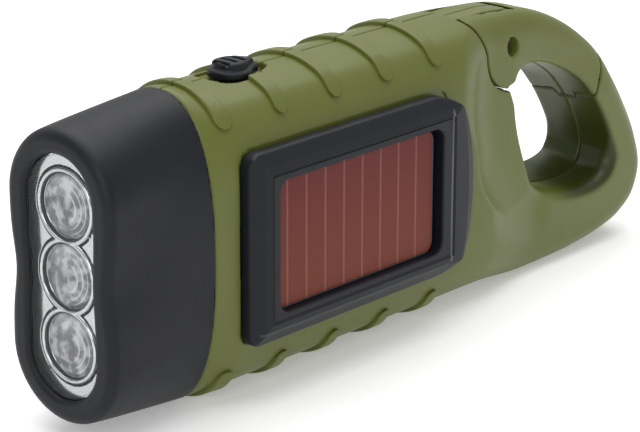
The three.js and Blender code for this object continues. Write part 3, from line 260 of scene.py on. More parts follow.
TAIL_TOP = [(-0.33, 1), (0, 1), (0.193, 0.968), (0.385, 0.908), (0.565, 0.75), (0.727, 0.509),
            (0.816, 0.284), (0.894, 0.04)]
TAIL_LOW = [(0.961, -0.221), (1, -0.509), (0.963, -0.765), (0.884, -0.9), (0.803, -0.958), (0.72, -0.99),
            (0.635, -1.01), (0.551, -1.022), (0.333, -1.03), (0.163, -1.009), (0, -1), (-0.33, -1)]
HOLE = [(0.24, 0.418), (0.268, 0.439), (0.287, 0.502), (0.324, 0.54), (0.38, 0.536), (0.46, 0.489),
        (0.542, 0.405), (0.611, 0.308), (0.663, 0.198), (0.717, 0.051), (0.773, -0.152), (0.796, -0.3),
        (0.791, -0.39), (0.768, -0.466), (0.712, -0.511), (0.642, -0.521), (0.565, -0.503), (0.48, -0.458),
        (0.42, -0.405), (0.38, -0.35), (0.35, -0.295), (0.315, -0.186), (0.281, 0), (0.26, 0.177),
        (0.246, 0.397)]
SCOOP = [(0.19, 2), (0.175, 0.75), (0.17, 0.4), (0.2, 0.05), (0.31, -0.25), (0.47, -0.5), (0.6, -0.66),
         (0.7, -2), (1.6, -2), (1.6, 2)]
tail_outline = spline(tail_points(TAIL_TOP + TAIL_LOW), 6, False)
hole_outline = spline(tail_points(HOLE), 4, True)
scoop_outline = tail_points(SCOOP)
top_line = spline(tail_points(TAIL_TOP), 6, False)


def crowned_section(y, z, half_width, half_height, crown, corner):
    """Flat-sided section: the crown's circle at the top and bottom, cut by two flats with round corners."""
    arch = np.hypot(y, np.maximum(np.abs(z) - (half_height - crown), 0)) - crown
    return common(arch, np.abs(y) - half_width, corner)


def round_section(y, z, half_width, half_height, power=2.4):
    """Superellipse |y/a|^n + |z/b|^n = 1, its value divided by its slope."""
    a, b = np.abs(y) / half_width + 1e-6, np.abs(z) / half_height + 1e-6
    level = (a**power + b**power) ** (1 / power)
    slope = level ** (1 - power) * np.hypot(a ** (power - 1) / half_width, b ** (power - 1) / half_height)
    return (level - 1) / slope


def body_skin(x, y, z):
    """Body section along x: round at the head, flat-sided along the grip."""
    top = np.interp(x, top_line[:, 0], top_line[:, 1])
    height = np.where(z > 0, top, BODY_HALF_HEIGHT)
    crowned = crowned_section(y, z, BODY_HALF_WIDTH, height, CROWN_RADIUS, BODY_CORNER)
    rounded = round_section(y, z, HEAD_REAR_HALF_WIDTH, HEAD_REAR_HALF_HEIGHT)
    blend = smooth(BODY_FRONT, BODY_FULL, x)
    return rounded + (crowned - rounded) * blend


def tail_skin(x, y, z):
    """Tail on its side outline: the body's crowned section faded into the ring's slim slab.

    The fade is a weighted mean of the two distances, so that the corner between them holds its line.
    """
    side = polygon_distance(tail_outline, x, z)
    arch = np.hypot(y, np.maximum(side + CROWN_RADIUS, 0)) - CROWN_RADIUS
    broad = common(arch, np.abs(y) - BODY_HALF_WIDTH, BODY_CORNER)
    slim = common(side, np.abs(y) - RING_HALF_WIDTH, RING_EDGE)
    above = smooth(TAIL_START + 2, TAIL_START + 2.0 * RIB_PITCH, x)
    below = smooth(TAIL_START + 2, TAIL_START + 1.9 * RIB_PITCH, x)
    return broad + (slim - broad) * (above + (below - above) * smooth(4, -12, z))


def ribs(x, z, skin):
    """Raised grip ribs over the top and the underside, each a band with a round end in the side view.

    They stand on the skin, sunk half a millimetre in it.
    """
    nearest = np.clip(np.round(x / RIB_PITCH), 0, RIB_COUNT - 1) * RIB_PITCH
    band = np.hypot(x - nearest, np.maximum(RIB_REACH + RIB_HALF_WIDTH - np.abs(z), 0)) - RIB_HALF_WIDTH
    return np.maximum(common(skin - RIB_HEIGHT, band, 0.3), -skin - 0.5)


def scoop_limit(x, z):
    """Half width left by the dish beside the hole: a power curve of the depth inside its boundary."""
    depth = SCOOP_RUN - polygon_distance(scoop_outline, x, z)
    share = np.clip(1 - depth / SCOOP_RUN, 0, None)
    return RING_HALF_WIDTH + (BODY_HALF_WIDTH - RING_HALF_WIDTH) * share**2.3


def hole_field(x, y, z):
    """Signed distance to the ring's hole.

    It narrows to the crank side, most of all at its foot, and a little to the panel side below the gate.
    """
    far = np.clip(y / RING_HALF_WIDTH, 0, 1.2)
    near = 0.9 * smooth(0, -6, y) * smooth(82, 74, x) * smooth(10, 6, z)
    narrowed = far * (0.4 + 1.7 * smooth(-4, -12, z)) + near
    return polygon_distance(hole_outline, x, z) + narrowed


def outer_form(x, y, z):
    """Whole green form: body and tail ring, with the dishes and the hole taken out.

    The hole's edge is rounder at its foot on the panel side, where a thumb goes in.
    """
    skin = body_skin(x, y, z)
    skin = skin + (tail_skin(x, y, z) - skin) * smooth(TAIL_START, TAIL_START + 7, x)
    form = common(skin, BODY_FRONT - x, 0.8)
    limit = scoop_limit(x, z)
    soft = 0.3 + 2.2 * smooth(3, 12, z) + 2.5 * smooth(-7, -14, z) * smooth(84, 76, x)
    form = common(form, (np.abs(y) - limit) * 0.85, soft)
    edge = 1.0 + 1.7 * smooth(-4, -10, z) * smooth(0.5, -3, y)
    return minus(form, hole_field(x, y, z), edge)


def gate_region(x, y, z):
    """The gate's part of the ring: a knuckle about the pin and a band out to an arc, with a latch lip.

    The lip reaches past the arc in the middle of the ring's thickness, along the hole.
    """
    px, pz = GATE_PIN
    from_pin = np.hypot(x - px, z - pz)
    normal = math.radians(GATE_SEAM)
    seam = (x - px) * math.cos(normal) + (z - pz) * math.sin(normal) - 0.85 * GATE_KNUCKLE
    low = (x - px) * -0.45 + (z - pz) * -0.72 - 0.19 * GATE_REACH
    lip = 1.4 * smooth(2.3, 1.7, np.abs(y + 0.5)) * smooth(4.2, 3.2, polygon_distance(hole_outline, x, z))
    band = np.maximum(np.maximum(seam, low), from_pin - GATE_REACH - lip)
    return joined(band, from_pin - GATE_KNUCKLE, 0.6)


def rounded_rectangle(x, z, box, radius):
    """Signed distance to a rectangle with round corners."""
    dx = np.abs(x - (box[0] + box[1]) / 2) - (box[1] - box[0]) / 2 + radius
    dz = np.abs(z - (box[2] + box[3]) / 2) - (box[3] - box[2]) / 2 + radius
    return np.hypot(np.maximum(dx, 0), np.maximum(dz, 0)) + np.minimum(np.maximum(dx, dz), 0) - radius


def grown(box, amount):
    """A rectangle with every side moved out."""
    return (box[0] - amount, box[1] + amount, box[2] - amount, box[3] + amount)


def gate_web(x, y, z, form):
    """Tongue of the body between the gate's two cheeks, flush with the crown, round about the pin."""
    px, pz = GATE_PIN
    round_end = np.hypot(x - px, z - pz) - WEB_RADIUS
    neck = most(x - px, CAVITY_END - x, np.abs(z - pz) - WEB_RADIUS)
    return common(np.maximum(joined(round_end, neck, 0.3), form), np.abs(y) - WEB_HALF_WIDTH, 0.15)


def knob_plan(x, y, margin, ahead, behind):
    """Outline of the slide knob from above, grown by a margin and by its travel: a pad and a narrow neck."""
    rear = KNOB_FRONT + KNOB_PAD + behind
    pad = rounded_rectangle(x, y, grown((KNOB_FRONT - ahead, rear, -PAD_HALF_WIDTH, PAD_HALF_WIDTH), margin),
                            3.0 + margin)
    tip = (KNOB_FRONT + 3 - ahead, KNOB_FRONT + KNOB_LENGTH + behind, -NECK_HALF_WIDTH, NECK_HALF_WIDTH)
    neck = rounded_rectangle(x, y, grown(tip, margin), 1.6 + margin)
    return joined(pad, neck, 1.2)


def knob_pocket(x, y, z, form):
    """What is left of a form once the slide knob's dished pocket and the stem's slot are cut."""
    dish = joined(knob_plan(x, y, 0.5, 2.0, 1.0), knob_plan(x, y, 0.5, 0, 1.0), 0.1)
    dip = common(dish, POCKET_FLOOR - 0.25 - z, 0.3)
    slot = most(rounded_rectangle(x, y, STEM_SLOT, 0.3), 15 - z)
    return np.maximum(common(form, -dip, 0.22), -slot)


def rib_form(x, y, z):
    """The grip ribs with the slide knob's pocket cut in them."""
    return knob_pocket(x, y, z, ribs(x, z, body_skin(x, y, z)))


def shell_form(x, y, z):
    """Both body shells together: the green form with its cavity, pockets, slot, bores and screw holes.

    The gap round the gate is narrow inside the ring's thickness, beside the gate's finger.
    """
    form = outer_form(x, y, z)
    cavity = np.maximum(body_skin(x, y, z) + WALL, x - CAVITY_END)
    shell = np.maximum(form, -cavity)
    finger = smooth(GATE_PIN[0] + 6, GATE_PIN[0] + 4, x) * smooth(GATE_PIN[1] - 2.5, GATE_PIN[1] - 4.5, z)
    within = smooth(RING_HALF_WIDTH - GATE_STEP, RING_HALF_WIDTH - GATE_STEP - 0.6, np.abs(y))
    gap = GATE_GAP + (GATE_SHUT - GATE_GAP) * finger * within
    shell = common(shell, -gate_region(x, y, z) + gap, 0.3)
    shell = np.minimum(shell, gate_web(x, y, z, form))
    pocket = common(rounded_rectangle(x, z, grown(BEZEL, 0.3), 3.0), y - BEZEL_SEAT - 0.15, 0.1)
    pocket = np.minimum(pocket, common(bezel_outline(x, z) - 0.4, y - BEZEL_WING[2] - 0.1, 0.1))
    shell = common(shell, -pocket, 0.18)
    shell = knob_pocket(x, y, z, shell)
    bore = np.maximum(np.hypot(x - CRANK_X, z) - SHAFT_RADIUS - PIN_PLAY, -y)
    shell = common(shell, -bore, 0.2)
    pin = np.hypot(x - GATE_PIN[0], z - GATE_PIN[1]) - GATE_PIN_RADIUS - PIN_PLAY
    shell = np.maximum(shell, -pin)
    for sx, sz in SCREWS:
        seat = (BODY_HALF_WIDTH if sx < TAIL_START else RING_HALF_WIDTH) - SCREW_SEAT
        well = np.maximum(np.hypot(x - sx, z - sz) - SCREW_HEAD - 0.3, seat - y)
        shell = common(shell, -well, 0.3)
    return shell


def gate_form(x, y, z):
    """The spring gate: its region of the green form, hollowed between the cheeks where the tongue goes."""
    from_pin = np.hypot(x - GATE_PIN[0], z - GATE_PIN[1])
    form = common(outer_form(x, y, z), gate_region(x, y, z), 0.3)
    pocket = np.minimum(from_pin - WEB_RADIUS - 0.6, x - GATE_PIN[0])
    pocket = np.maximum(pocket, np.abs(y) - WEB_HALF_WIDTH - 0.25)
    form = common(form, -pocket, 0.15)
    return common(form, -(from_pin - GATE_PIN_RADIUS - PIN_PLAY), 0.25)


def stadium(y, z, half_width, rise, waist):
    """Slot with round ends in the front view, drawn in at the middle by a soft waist."""
    pinch = waist * np.exp(-((z / 5.0) ** 2))
    return np.hypot(y, np.maximum(np.abs(z) - rise, 0)) - half_width + pinch


def head_form(x, y, z):
    """Lamp head: a waisted slot section at the front growing into the round section at the body."""
    along = np.clip((x - HEAD_FRONT) / (BODY_FRONT - HEAD_FRONT), 0, 1)
    half_width = HEAD_FRONT_HALF_WIDTH + (HEAD_REAR_HALF_WIDTH - HEAD_FRONT_HALF_WIDTH) * along
    rise = HEAD_REAR_HALF_HEIGHT - HEAD_FRONT_HALF_HEIGHT
    half_height = HEAD_FRONT_HALF_HEIGHT + rise * along**0.8
    waist = HEAD_WAIST * (1 - smooth(0, 0.7, along))
    slot = stadium(y, z, half_width, half_height - half_width, waist * 1.6)
    skin = slot + (round_section(y, z, half_width, half_height) - slot) * smooth(0, 1, along)
    head = common(skin, HEAD_FRONT - x, HEAD_EDGE)
    head = common(head, x - BODY_FRONT + 0.06, 0.22)
    lip = most(body_skin(np.maximum(x, BODY_FRONT), y, z) + WALL + 0.3, x - LIP_END, BODY_FRONT - 2 - x)
    head = np.minimum(head, lip)
    hollow = most(skin + WALL, CUP_FACE - x, x - BODY_FRONT + 1)
    bore = np.maximum(body_skin(BODY_FRONT + 0 * x, y, z) + 2 * WALL + 0.3, BODY_FRONT - 2 - x)
    head = np.maximum(head, -np.minimum(hollow, bore))
    mouth = np.maximum(stadium(y, z, WINDOW_HALF_WIDTH, WINDOW_RISE, WINDOW_WAIST), x - CUP_FACE - 2)
    return common(head, -mouth, 0.9)


def wing_fall(z):
    """How far the wing's edge falls back from its furthest place: a parabola over the height."""
    return WING_BOW * (z + 1) ** 2


def bezel_outline(x, z):
    """The bezel from the side: square with round corners at the lamp's end, a bowed wing at the other."""
    box = rounded_rectangle(x, z, (BEZEL[0], BEZEL[1] + 20, BEZEL[2], BEZEL[3]), 2.2)
    bow = (x - BEZEL_WING[1] + wing_fall(z)) / np.hypot(1, 2 * WING_BOW * (z + 1))
    return common(box, bow, 6.0)


def bezel_form(x, y, z):
    """Solar bezel: two mitred slopes, a groove and a flat rim, and a wing that falls to the body.

    The top face is a height over the body that depends on d, the distance inside a square outline; d
    runs slower over the wing, as its own width shared out to a power.
    """
    bow = BEZEL_WING[1] - wing_fall(z)
    share = np.clip((bow - x) / np.maximum(bow - BEZEL_WING[0], 0.4), 0, 3)
    inside = -most(BEZEL[0] - x, BEZEL[2] - z, z - BEZEL[3], -3.4 * share**0.6)
    height = np.interp(inside, [0, 0.15, 1.7, 1.9, 3.35, 3.42, 3.62, 3.7],
                       [0.75, 0.95, 2.0, 2.15, 2.5, 2.25, 2.25, 2.42])
    top = (-BODY_HALF_WIDTH - height - y) * 0.8
    seat = np.where(x < BEZEL[1] + 0.3, BEZEL_SEAT, BEZEL_WING[2])
    form = common(bezel_outline(x, z), top, 0.3)
    form = common(form, y - seat, 0.1)
    window = (CELL[0], WINDOW_END, CELL[2], CELL[3])
    return common(form, -rounded_rectangle(x, z, window, 2.0), 0.22)


def knob_form(x, y, z):
    """Slide knob: a domed thumb pad with cross grooves, a narrow neck behind it and a stem below."""
    plan = knob_plan(x, y, 0, 0, 0)
    crown = KNOB_TOP - 0.45 * smooth(KNOB_FRONT + 5, KNOB_FRONT + 8, x) - 0.02 * y * y
    upper = common(plan + 0.75, z - crown, 0.5)
    lower = common(plan, z - PAD_EDGE + 0.02 * y * y, 0.45)
    form = common(joined(upper, lower, 0.3), POCKET_FLOOR + 0.3 - z, 0.15)
    for i in (-1, 0, 1):
        middle = KNOB_FRONT + KNOB_PAD / 2 + GROOVE_PITCH * i
        notch = most(np.abs(x - middle) - 0.36, crown - 0.5 - z, np.abs(y) - 1.6)
        form = common(form, -notch, 0.16)
    stem = most(np.abs(x - STEM_MIDDLE) - STEM_HALF_WIDTH, np.abs(y) - STEM_HALF_WIDTH, STEM_FOOT - z,
                z - KNOB_TOP + 1)
    return np.minimum(form, stem)


def reflector_plate(x, y, z):
    """Face of the reflector behind the lens: a chromed plate with a raised rim round each cup."""
    plate = stadium(y, z, WINDOW_HALF_WIDTH + 0.55, WINDOW_RISE, WINDOW_WAIST)
    plate = most(plate, CUP_FACE + 0.35 - x, x - CUP_FACE - 1.1)
    nearest = np.clip(np.round(z / CUP_PITCH), -1, 1) * CUP_PITCH
    radius = np.hypot(y, z - nearest)
    rim = common(np.abs(radius - RIM_RADIUS) - 0.36, CUP_FACE + 0.05 - x, 0.3)
    rim = most(rim, x - CUP_FACE - 0.8)
    form = joined(plate, rim, 0.12)
    channel = np.abs(radius - CHANNEL_RADIUS) - 0.15
    form = np.maximum(form, -channel)
    return np.maximum(form, CUP_RADIUS + 0.1 - radius)


def arm_form(x, y, z):
    """Crank arm: a flat lever widening to its hub, with the slot that takes the folded knob.

    The screw's recess and bore and the shaft's socket are cut in the hub, and the fold pin's bore in the end.
    """
    t = np.clip((x - ARM_END) / CRANK_THROW, 0, 1)
    lever = np.hypot(x - (ARM_END + t * CRANK_THROW), z) - (ARM_HALF_WIDTH + 0.3 * t)
    from_shaft = np.hypot(x - CRANK_X, z)
    plan = joined(lever, from_shaft - HUB_RADIUS, 6.0)
    form = common(plan, y - ARM_TOP, 1.0)
    form = common(form, ARM_LOW - y, 0.6)
    slot = rounded_rectangle(x, z, ARM_SLOT, 0.8)
    form = common(form, -slot, 0.4)
    recess = np.maximum(from_shaft - 2.9, ARM_TOP - 1.8 - y)
    form = common(form, -recess, 0.25)
    core = np.maximum(from_shaft - SHAFT_RADIUS - 0.1, y - ARM_TOP + 3.8)
    core = np.minimum(core, from_shaft - ARM_SCREW_BORE)
    pin = np.maximum(np.hypot(x - ARM_END, y - ARM_LEVEL) - FOLD_PIN_BORE, -5.5 - z)
    return np.maximum(form, -np.minimum(core, pin))


def lens_form(x, y, z):
    """The clear window: a thin waisted slot in front of the cups."""
    plan = stadium(y, z, WINDOW_HALF_WIDTH - 0.15, WINDOW_RISE, WINDOW_WAIST)
    return common(plan, np.abs(x - CUP_FACE + 0.42) - 0.3, 0.12)


def surface_net(grid, low, step):
    """Points and quads of the surface where a grid of values changes sign.

    Each cell that the surface crosses gets one point, the mean of the crossings on its edges, and each grid
    edge that it crosses gets one quad, through the points of the four cells round it.
    """
    inside = grid < 0
    cells = tuple(n - 1 for n in grid.shape)
    total, hits = np.zeros((*cells, 3)), np.zeros(cells)
    sides = []
    for axis in range(3):
        near = [slice(None)] * 3
        far = [slice(None)] * 3
        near[axis], far[axis] = slice(0, -1), slice(1, None)
        a, b = grid[tuple(near)], grid[tuple(far)]
        crossed = inside[tuple(near)] != inside[tuple(far)]
        share = np.where(crossed, a / np.where(crossed, a - b, 1), 0)
        sides.append(crossed)
        others = [k for k in range(3) if k != axis]
        for u in (0, 1):
            for v in (0, 1):
                pick = [slice(None)] * 3
                for k, o in zip(others, (u, v)):
                    pick[k] = slice(o, o + cells[k])
                hit = crossed[tuple(pick)]
                total[..., axis] += share[tuple(pick)] * hit
                total[..., others[0]] += u * hit
                total[..., others[1]] += v * hit
                hits += hit
    used = hits > 0
    index = np.full(cells, -1)
    index[used] = np.arange(used.sum())
    corner = np.stack(np.nonzero(used), axis=1)
    points = np.array(low) + step * (corner + total[used] / hits[used][:, None])
    quads = []
    for axis in range(3):
        u, v = [(1, 2), (2, 0), (0, 1)][axis]
        crossed = np.stack(np.nonzero(sides[axis]), axis=1)
        at_u, at_v = crossed[:, u], crossed[:, v]
        crossed = crossed[(at_u > 0) & (at_v > 0) & (at_u < cells[u]) & (at_v < cells[v])]
        du, dv = np.eye(3, dtype=int)[u], np.eye(3, dtype=int)[v]
        four = [crossed - du - dv, crossed - dv, crossed, crossed - du]
        quad = np.stack([index[tuple(c.T)] for c in four], axis=1)
        starts_inside = inside[tuple(crossed.T)]
        quad[~starts_inside] = quad[~starts_inside][:, ::-1]
        quads.append(quad)
    return points, np.concatenate(quads)


def settled(field, points, step):
    """Points drawn onto the surface in three moves: the field's value over its slope, against the slope."""
    for _ in range(3):
        here, slope = steepness(field, points, 0.02)
        move = -here[:, None] * slope / np.maximum((slope**2).sum(axis=1), 0.2)[:, None]
        length = np.linalg.norm(move, axis=1, keepdims=True)
        points = points + move * np.minimum(1, 0.4 * step / np.maximum(length, 1e-9))
    return points


def meshed(field, low, high, step):
    """Points, quads and normals of a field's surface, from its values on a grid."""
    counts = [int(math.ceil((h - a) / step)) + 1 for a, h in zip(low, high)]
    axes = [a + step * np.arange(n) for a, n in zip(low, counts)]
    x, y, z = axes[0][:, None, None], axes[1][None, :, None], axes[2][None, None, :]
    points, quads = surface_net(np.broadcast_to(field(x, y, z), counts), low, step)
    points = settled(field, points, step)
    _, slope = steepness(field, points, 0.04)
    return points, quads, slope / np.maximum(np.linalg.norm(slope, axis=1), 1e-9)[:, None]


def steepness(field, points, tiny):
    """The field at points and its slope there, by central differences."""
    x, y, z = points.T
    spread = [field(x + tiny, y, z) - field(x - tiny, y, z),
              field(x, y + tiny, z) - field(x, y - tiny, z),
              field(x, y, z + tiny) - field(x, y, z - tiny)]
    return field(x, y, z), np.stack(spread, axis=1) / (2 * tiny)


def mesh_object(name, points, faces):
    """A smooth-shaded piece from points in the object's millimetres and its faces."""
    mesh = bpy.data.meshes.new(name)
    mesh.from_pydata(placed(points).tolist(), [], np.asarray(faces).tolist())
    mesh.validate()
    mesh.polygons.foreach_set("use_smooth", [True] * len(mesh.polygons))
    mesh.update()
    piece = bpy.data.objects.new(name, mesh)
    bpy.context.scene.collection.objects.link(piece)
    return piece


def moulded(name, field, low, high, step):
    """A piece meshed from its field, shaded with the field's own normals."""
    points, quads, normals = meshed(field, low, high, step)
    piece = mesh_object(name, points, quads)
    piece.data.normals_split_custom_set_from_vertices(normals.tolist())
    return piece


def turned(name, profile, y, z, steps):
    """Profile of (radius, place in x) turned about the line along x at y and z.

    The profile closes at poles, where the radius is 0, or onto itself.
    """
    r, along = np.array(profile, dtype=float).T
    angle = np.linspace(0, 2 * np.pi, steps, endpoint=False)
    rings = np.stack([np.broadcast_to(along[:, None], (len(r), steps)),
                      r[:, None] * np.cos(angle), r[:, None] * np.sin(angle)], axis=-1)
    points = rings.reshape(-1, 3) + np.array((0, y, z))
    i, j = np.meshgrid(np.arange(len(r) - 1), np.arange(steps), indexing="ij")
    a, b = i * steps + j, i * steps + (j + 1) % steps
    quads = np.stack([a, b, b + steps, a + steps], axis=-1).reshape(-1, 4)
    piece = mesh_object(name, points, quads)
    tidy(piece)
    return piece


def tidy(piece):
    """Joins doubled points at poles and turns every face outwards."""
    work = bmesh.new()
    work.from_mesh(piece.data)
    bmesh.ops.remove_doubles(work, verts=work.verts, dist=1e-7)
    bmesh.ops.recalc_face_normals(work, faces=work.faces)
    work.to_mesh(piece.data)
    work.free()
    piece.data.polygons.foreach_set("use_smooth", [True] * len(piece.data.polygons))


# Shader maths

class Socket:
    """A value in a material's node tree, so that shader maths reads as a formula."""

    def __init__(self, tree, link):
        self.tree, self.link = tree, link

    def _math(self, operation, *values):
        return self.tree.node("ShaderNodeMath", {"operation": operation}, dict(enumerate(values)))

    def __add__(self, other):
        return self._math("ADD", self, other)

    def __radd__(self, other):
        return self._math("ADD", other, self)

    def __sub__(self, other):
        return self._math("SUBTRACT", self, other)

    def __rsub__(self, other):
        return self._math("SUBTRACT", other, self)

    def __mul__(self, other):
        return self._math("MULTIPLY", self, other)

    def __rmul__(self, other):
        return self._math("MULTIPLY", other, self)

    def __gt__(self, other):
        return self._math("GREATER_THAN", self, other)

    def fraction(self):
        return self._math("FRACT", self)

    def size(self):
        return self._math("ABSOLUTE", self)

    def greatest(self, other):
        return self._math("MAXIMUM", self, other)

    def step(self, low, high):
        """Cubic step from 0 at low to 1 at high."""
        return self.tree.node("ShaderNodeMapRange", {"interpolation_type": "SMOOTHSTEP"},
                              {0: self, 1: low, 2: high, 3: 0.0, 4: 1.0})


class Tree:
    """The node tree of a material or a world, and the one way in which its nodes are made."""

    def __init__(self, owner):
        owner.use_nodes = True
        self.nodes, self.links = owner.node_tree.nodes, owner.node_tree.links

    def node(self, kind, settings, values, output=0):
        made = self.nodes.new(kind)
        for key, value in settings.items():
            setattr(made, key, value)
        for key, value in values.items():
            if isinstance(value, Socket):
                self.links.new(value.link, made.inputs[key])
            else:
                made.inputs[key].default_value = value
        return Socket(self, made.outputs[output])


class Finish(Tree):
    """A material: its Principled shader and the nodes that vary it."""

    def __init__(self, name, color, roughness, metallic=0.0, **fixed):
        self.material = bpy.data.materials.new(name)
        super().__init__(self.material)
        self.shader = self.nodes["Principled BSDF"]
        self.shader.inputs["Base Color"].default_value = (*color, 1)
        self.shader.inputs["Roughness"].default_value = roughness
        self.shader.inputs["Metallic"].default_value = metallic
        for key, value in fixed.items():
            self.shader.inputs[key.replace("_", " ")].default_value = value
        self.material.diffuse_color = (*color, 1)

    def feed(self, name, value):
        self.links.new(value.link, self.shader.inputs[name])

    def place(self, kind="Object"):
        """Object coordinates in metres, or the object's own normal."""
        return self.node("ShaderNodeTexCoord", {}, {}, kind)

    def parts(self, vector):
        """The x, y and z of a vector."""
        split = self.node("ShaderNodeSeparateXYZ", {}, {0: vector})
        return [Socket(self, out) for out in split.link.node.outputs]

    def noise(self, scale, detail=3.0):
        """Cloudy noise, with its scale in waves to the metre."""
        return self.node("ShaderNodeTexNoise", {}, {"Vector": self.place(), "Scale": scale, "Detail": detail,
                                                    "Roughness": 0.5}, "Fac")

    def between(self, factor, dark, light):
        """Mix of two colours, each three numbers or a link."""
        ends = [end if isinstance(end, Socket) else (*end, 1) for end in (dark, light)]
        return self.node("ShaderNodeMix", {"data_type": "RGBA"}, {0: factor, 6: ends[0], 7: ends[1]}, 2)

    def bump(self, height, distance, strength):
        self.feed("Normal", self.node("ShaderNodeBump", {}, {"Height": height, "Distance": distance,
                                                             "Strength": strength}))

    def moulded_sheen(self, least, spread, scale, grain):
        """Uneven sheen, and a fine spark-eroded grain whose depth is in metres."""
        self.feed("Roughness", least + spread * self.noise(260.0))
        self.bump(self.noise(scale, 2.0), grain, 0.5)


def millimetres(parts):
    """The x, y and z of Object coordinates in the object's millimetres."""
    return [(part - float(start)) * 1000 for part, start in zip(parts, placed((0, 0, 0)))]


def moulded_plastic(name, dark, light, roughness):
    """Moulded plastic: faint cloudy colour, uneven sheen and a fine grain."""
    finish = Finish(name, light, roughness)
    finish.feed("Base Color", finish.between(finish.noise(90.0), dark, light))
    finish.moulded_sheen(roughness - 0.06, 0.12, 4200.0, 0.00003)
    return finish.material


def clear_finish(name, tint, roughness, ior):
    """Clear moulded plastic, thick enough to bend the light."""
    finish = Finish(name, tint, roughness, Transmission_Weight=1.0, IOR=ior)
    finish.feed("Roughness", roughness + 0.03 * finish.noise(300.0))
    return finish.material


def window_finish(name):
    """Thin clear window: a see-through sheet whose gloss shows most where it is seen edge on."""
    finish = Finish(name, (0.1, 0.105, 0.11), 0.04, Specular_IOR_Level=0.8)
    facing = finish.node("ShaderNodeLayerWeight", {}, {"Blend": 0.35}, "Facing")
    finish.feed("Alpha", 0.06 + facing * 0.3)
    finish.feed("Roughness", 0.03 + 0.03 * finish.noise(300.0))
    return finish.material


def optic_finish():
    """Moulded clear optic over each LED, with painted reflections: mottled glints, paler to the top, fine
    arcs towards the panel.

    The rings follow the squared distance to the nearest cup's middle, so they crowd outwards.
    """
    finish = Finish("optic_glass", (0.5, 0.5, 0.52), 0.12, Specular_IOR_Level=0.7)
    _, across, height = millimetres(finish.parts(finish.place()))
    upright = ((height * (1 / CUP_PITCH) + 1.5).fraction() - 0.5) * CUP_PITCH
    glints = finish.noise(560.0).step(0.4, 0.66)
    squared = across * across + upright * upright
    arcs = (squared * 0.17).fraction().step(0.55, 0.95) * (across * -1.0).step(0.3, 2.0)
    # painted reflection: glints, a paler top and arcs painted into the base colour
    painted_reflection = glints * 0.5 + upright.step(0.5, 4.5) * 0.4 + arcs * 0.5 + 0.08
    finish.feed("Base Color", finish.between(painted_reflection.step(0.0, 1.0), (0.17, 0.175, 0.18), (0.97, 0.98, 1.0)))
    finish.bump(glints + arcs, 0.00012, 0.8)
    return finish.material


def metal_finish(name, color, roughness):
    """Plated or drawn metal with a slightly uneven sheen."""
    finish = Finish(name, color, roughness, 1.0)
    finish.feed("Roughness", roughness + 0.1 * finish.noise(500.0))
    finish.bump(finish.noise(700.0), 0.000004, 0.3)
    return finish.material


def solar_finish():
    """Thin-film cell: dull brick red strips parted by fine pale lines, in a grey border."""
    finish = Finish("solar_film", (0.15, 0.04, 0.034), 0.25, Specular_IOR_Level=0.12)
    across, _, upright = millimetres(finish.parts(finish.place()))
    beside = ((across - (FIRST_LINE - LINE_PITCH / 2)) * (1 / LINE_PITCH)).fraction() - 0.5
    line = 1.0 - beside.size().step(0.02, 0.06)
    # painted light: the film is lighter and warmer towards the bottom
    painted_glow = (upright * -0.045 + 0.5).step(0.0, 1.0)
    film = finish.between(painted_glow, (0.14, 0.025, 0.022), (0.172, 0.038, 0.021))
    lined = finish.between(line * 0.5, film, (0.34, 0.15, 0.12))
    from_x = (across - (CELL[0] + CELL[1]) / 2).size()
    from_z = (upright - (CELL[2] + CELL[3]) / 2).size()
    half_x, half_z = (CELL[1] - CELL[0]) / 2 - 0.45, (CELL[3] - CELL[2]) / 2 - 0.4
    inner = (1.0 - (from_x > half_x)) * (1.0 - (from_z > half_z))
    finish.feed("Base Color", finish.between(1.0 - inner, lined, (0.06, 0.065, 0.068)))
    finish.feed("Roughness", 0.24 + 0.05 * finish.noise(2500.0) + line * 0.08)
    return finish.material


def black_finish():
    """Moulded black, with painted highlights along the bezel's inner edges: fine bright lines on its raised
    panel side.
    """
    finish = Finish("black_plastic", (0.005, 0.006, 0.009), 0.46, Specular_IOR_Level=0.26)
    across, depth, upright = millimetres(finish.parts(finish.place()))
    shade = finish.between(finish.noise(90.0), (0.0045, 0.0055, 0.0085), (0.0065, 0.0075, 0.011))
    raised = (depth * -1.0).step(13.4, 13.8)
    upright_line = 1.0 - (across - HIGHLIGHT_LINE[0]).size().step(0.12, 0.3)
    wing = upright_line * (1.0 - upright.size().step(12.2, 13.0))
    level_line = 1.0 - (upright + HIGHLIGHT_LINE[1]).size().step(0.12, 0.3)
    foot = level_line * (1.0 - (across - 24.5).size().step(21.5, 22.5))
    # painted highlight: bright lines along the bezel's inner edges, painted into the base colour
    painted_highlight = (wing + foot * 0.4).step(0.0, 1.0) * raised
    finish.feed("Base Color", finish.between(painted_highlight, shade, (0.115, 0.12, 0.13)))
    finish.moulded_sheen(0.42, 0.1, 2600.0, 0.00006)
    return finish.material


def olive_finish():
    """The body's moulded plastic, with painted shade that darkens the walls of the ring's hole.

    Those walls are where the object-space normal n points to the hole's middle c: n . (c - p) > 0 near c.
    """
    finish = Finish("olive_plastic", (0.115, 0.132, 0.023), 0.4, Specular_IOR_Level=0.38)
    shade = finish.between(finish.noise(90.0), (0.109, 0.127, 0.020), (0.120, 0.139, 0.025))
    across, _, upright = millimetres(finish.parts(finish.place()))
    over, up = HOLE_MIDDLE[0] - across, HOLE_MIDDLE[2] - upright
    normal_x, _, normal_z = finish.parts(finish.place("Normal"))
    inward = (normal_x * over + normal_z * up).step(1.0, 9.0)
    near = 1.0 - (over * over + up * up).step(300.0, 420.0)
    # painted shade: the hole's walls, which face its middle, are darkened in the base colour
    painted_hole_shade = inward * near * (1.0 - over.step(-5.0, 6.0))
    finish.feed("Base Color", finish.between(painted_hole_shade, shade, (0.026, 0.034, 0.002)))
    finish.moulded_sheen(0.34, 0.12, 4200.0, 0.00002)
    return finish.material


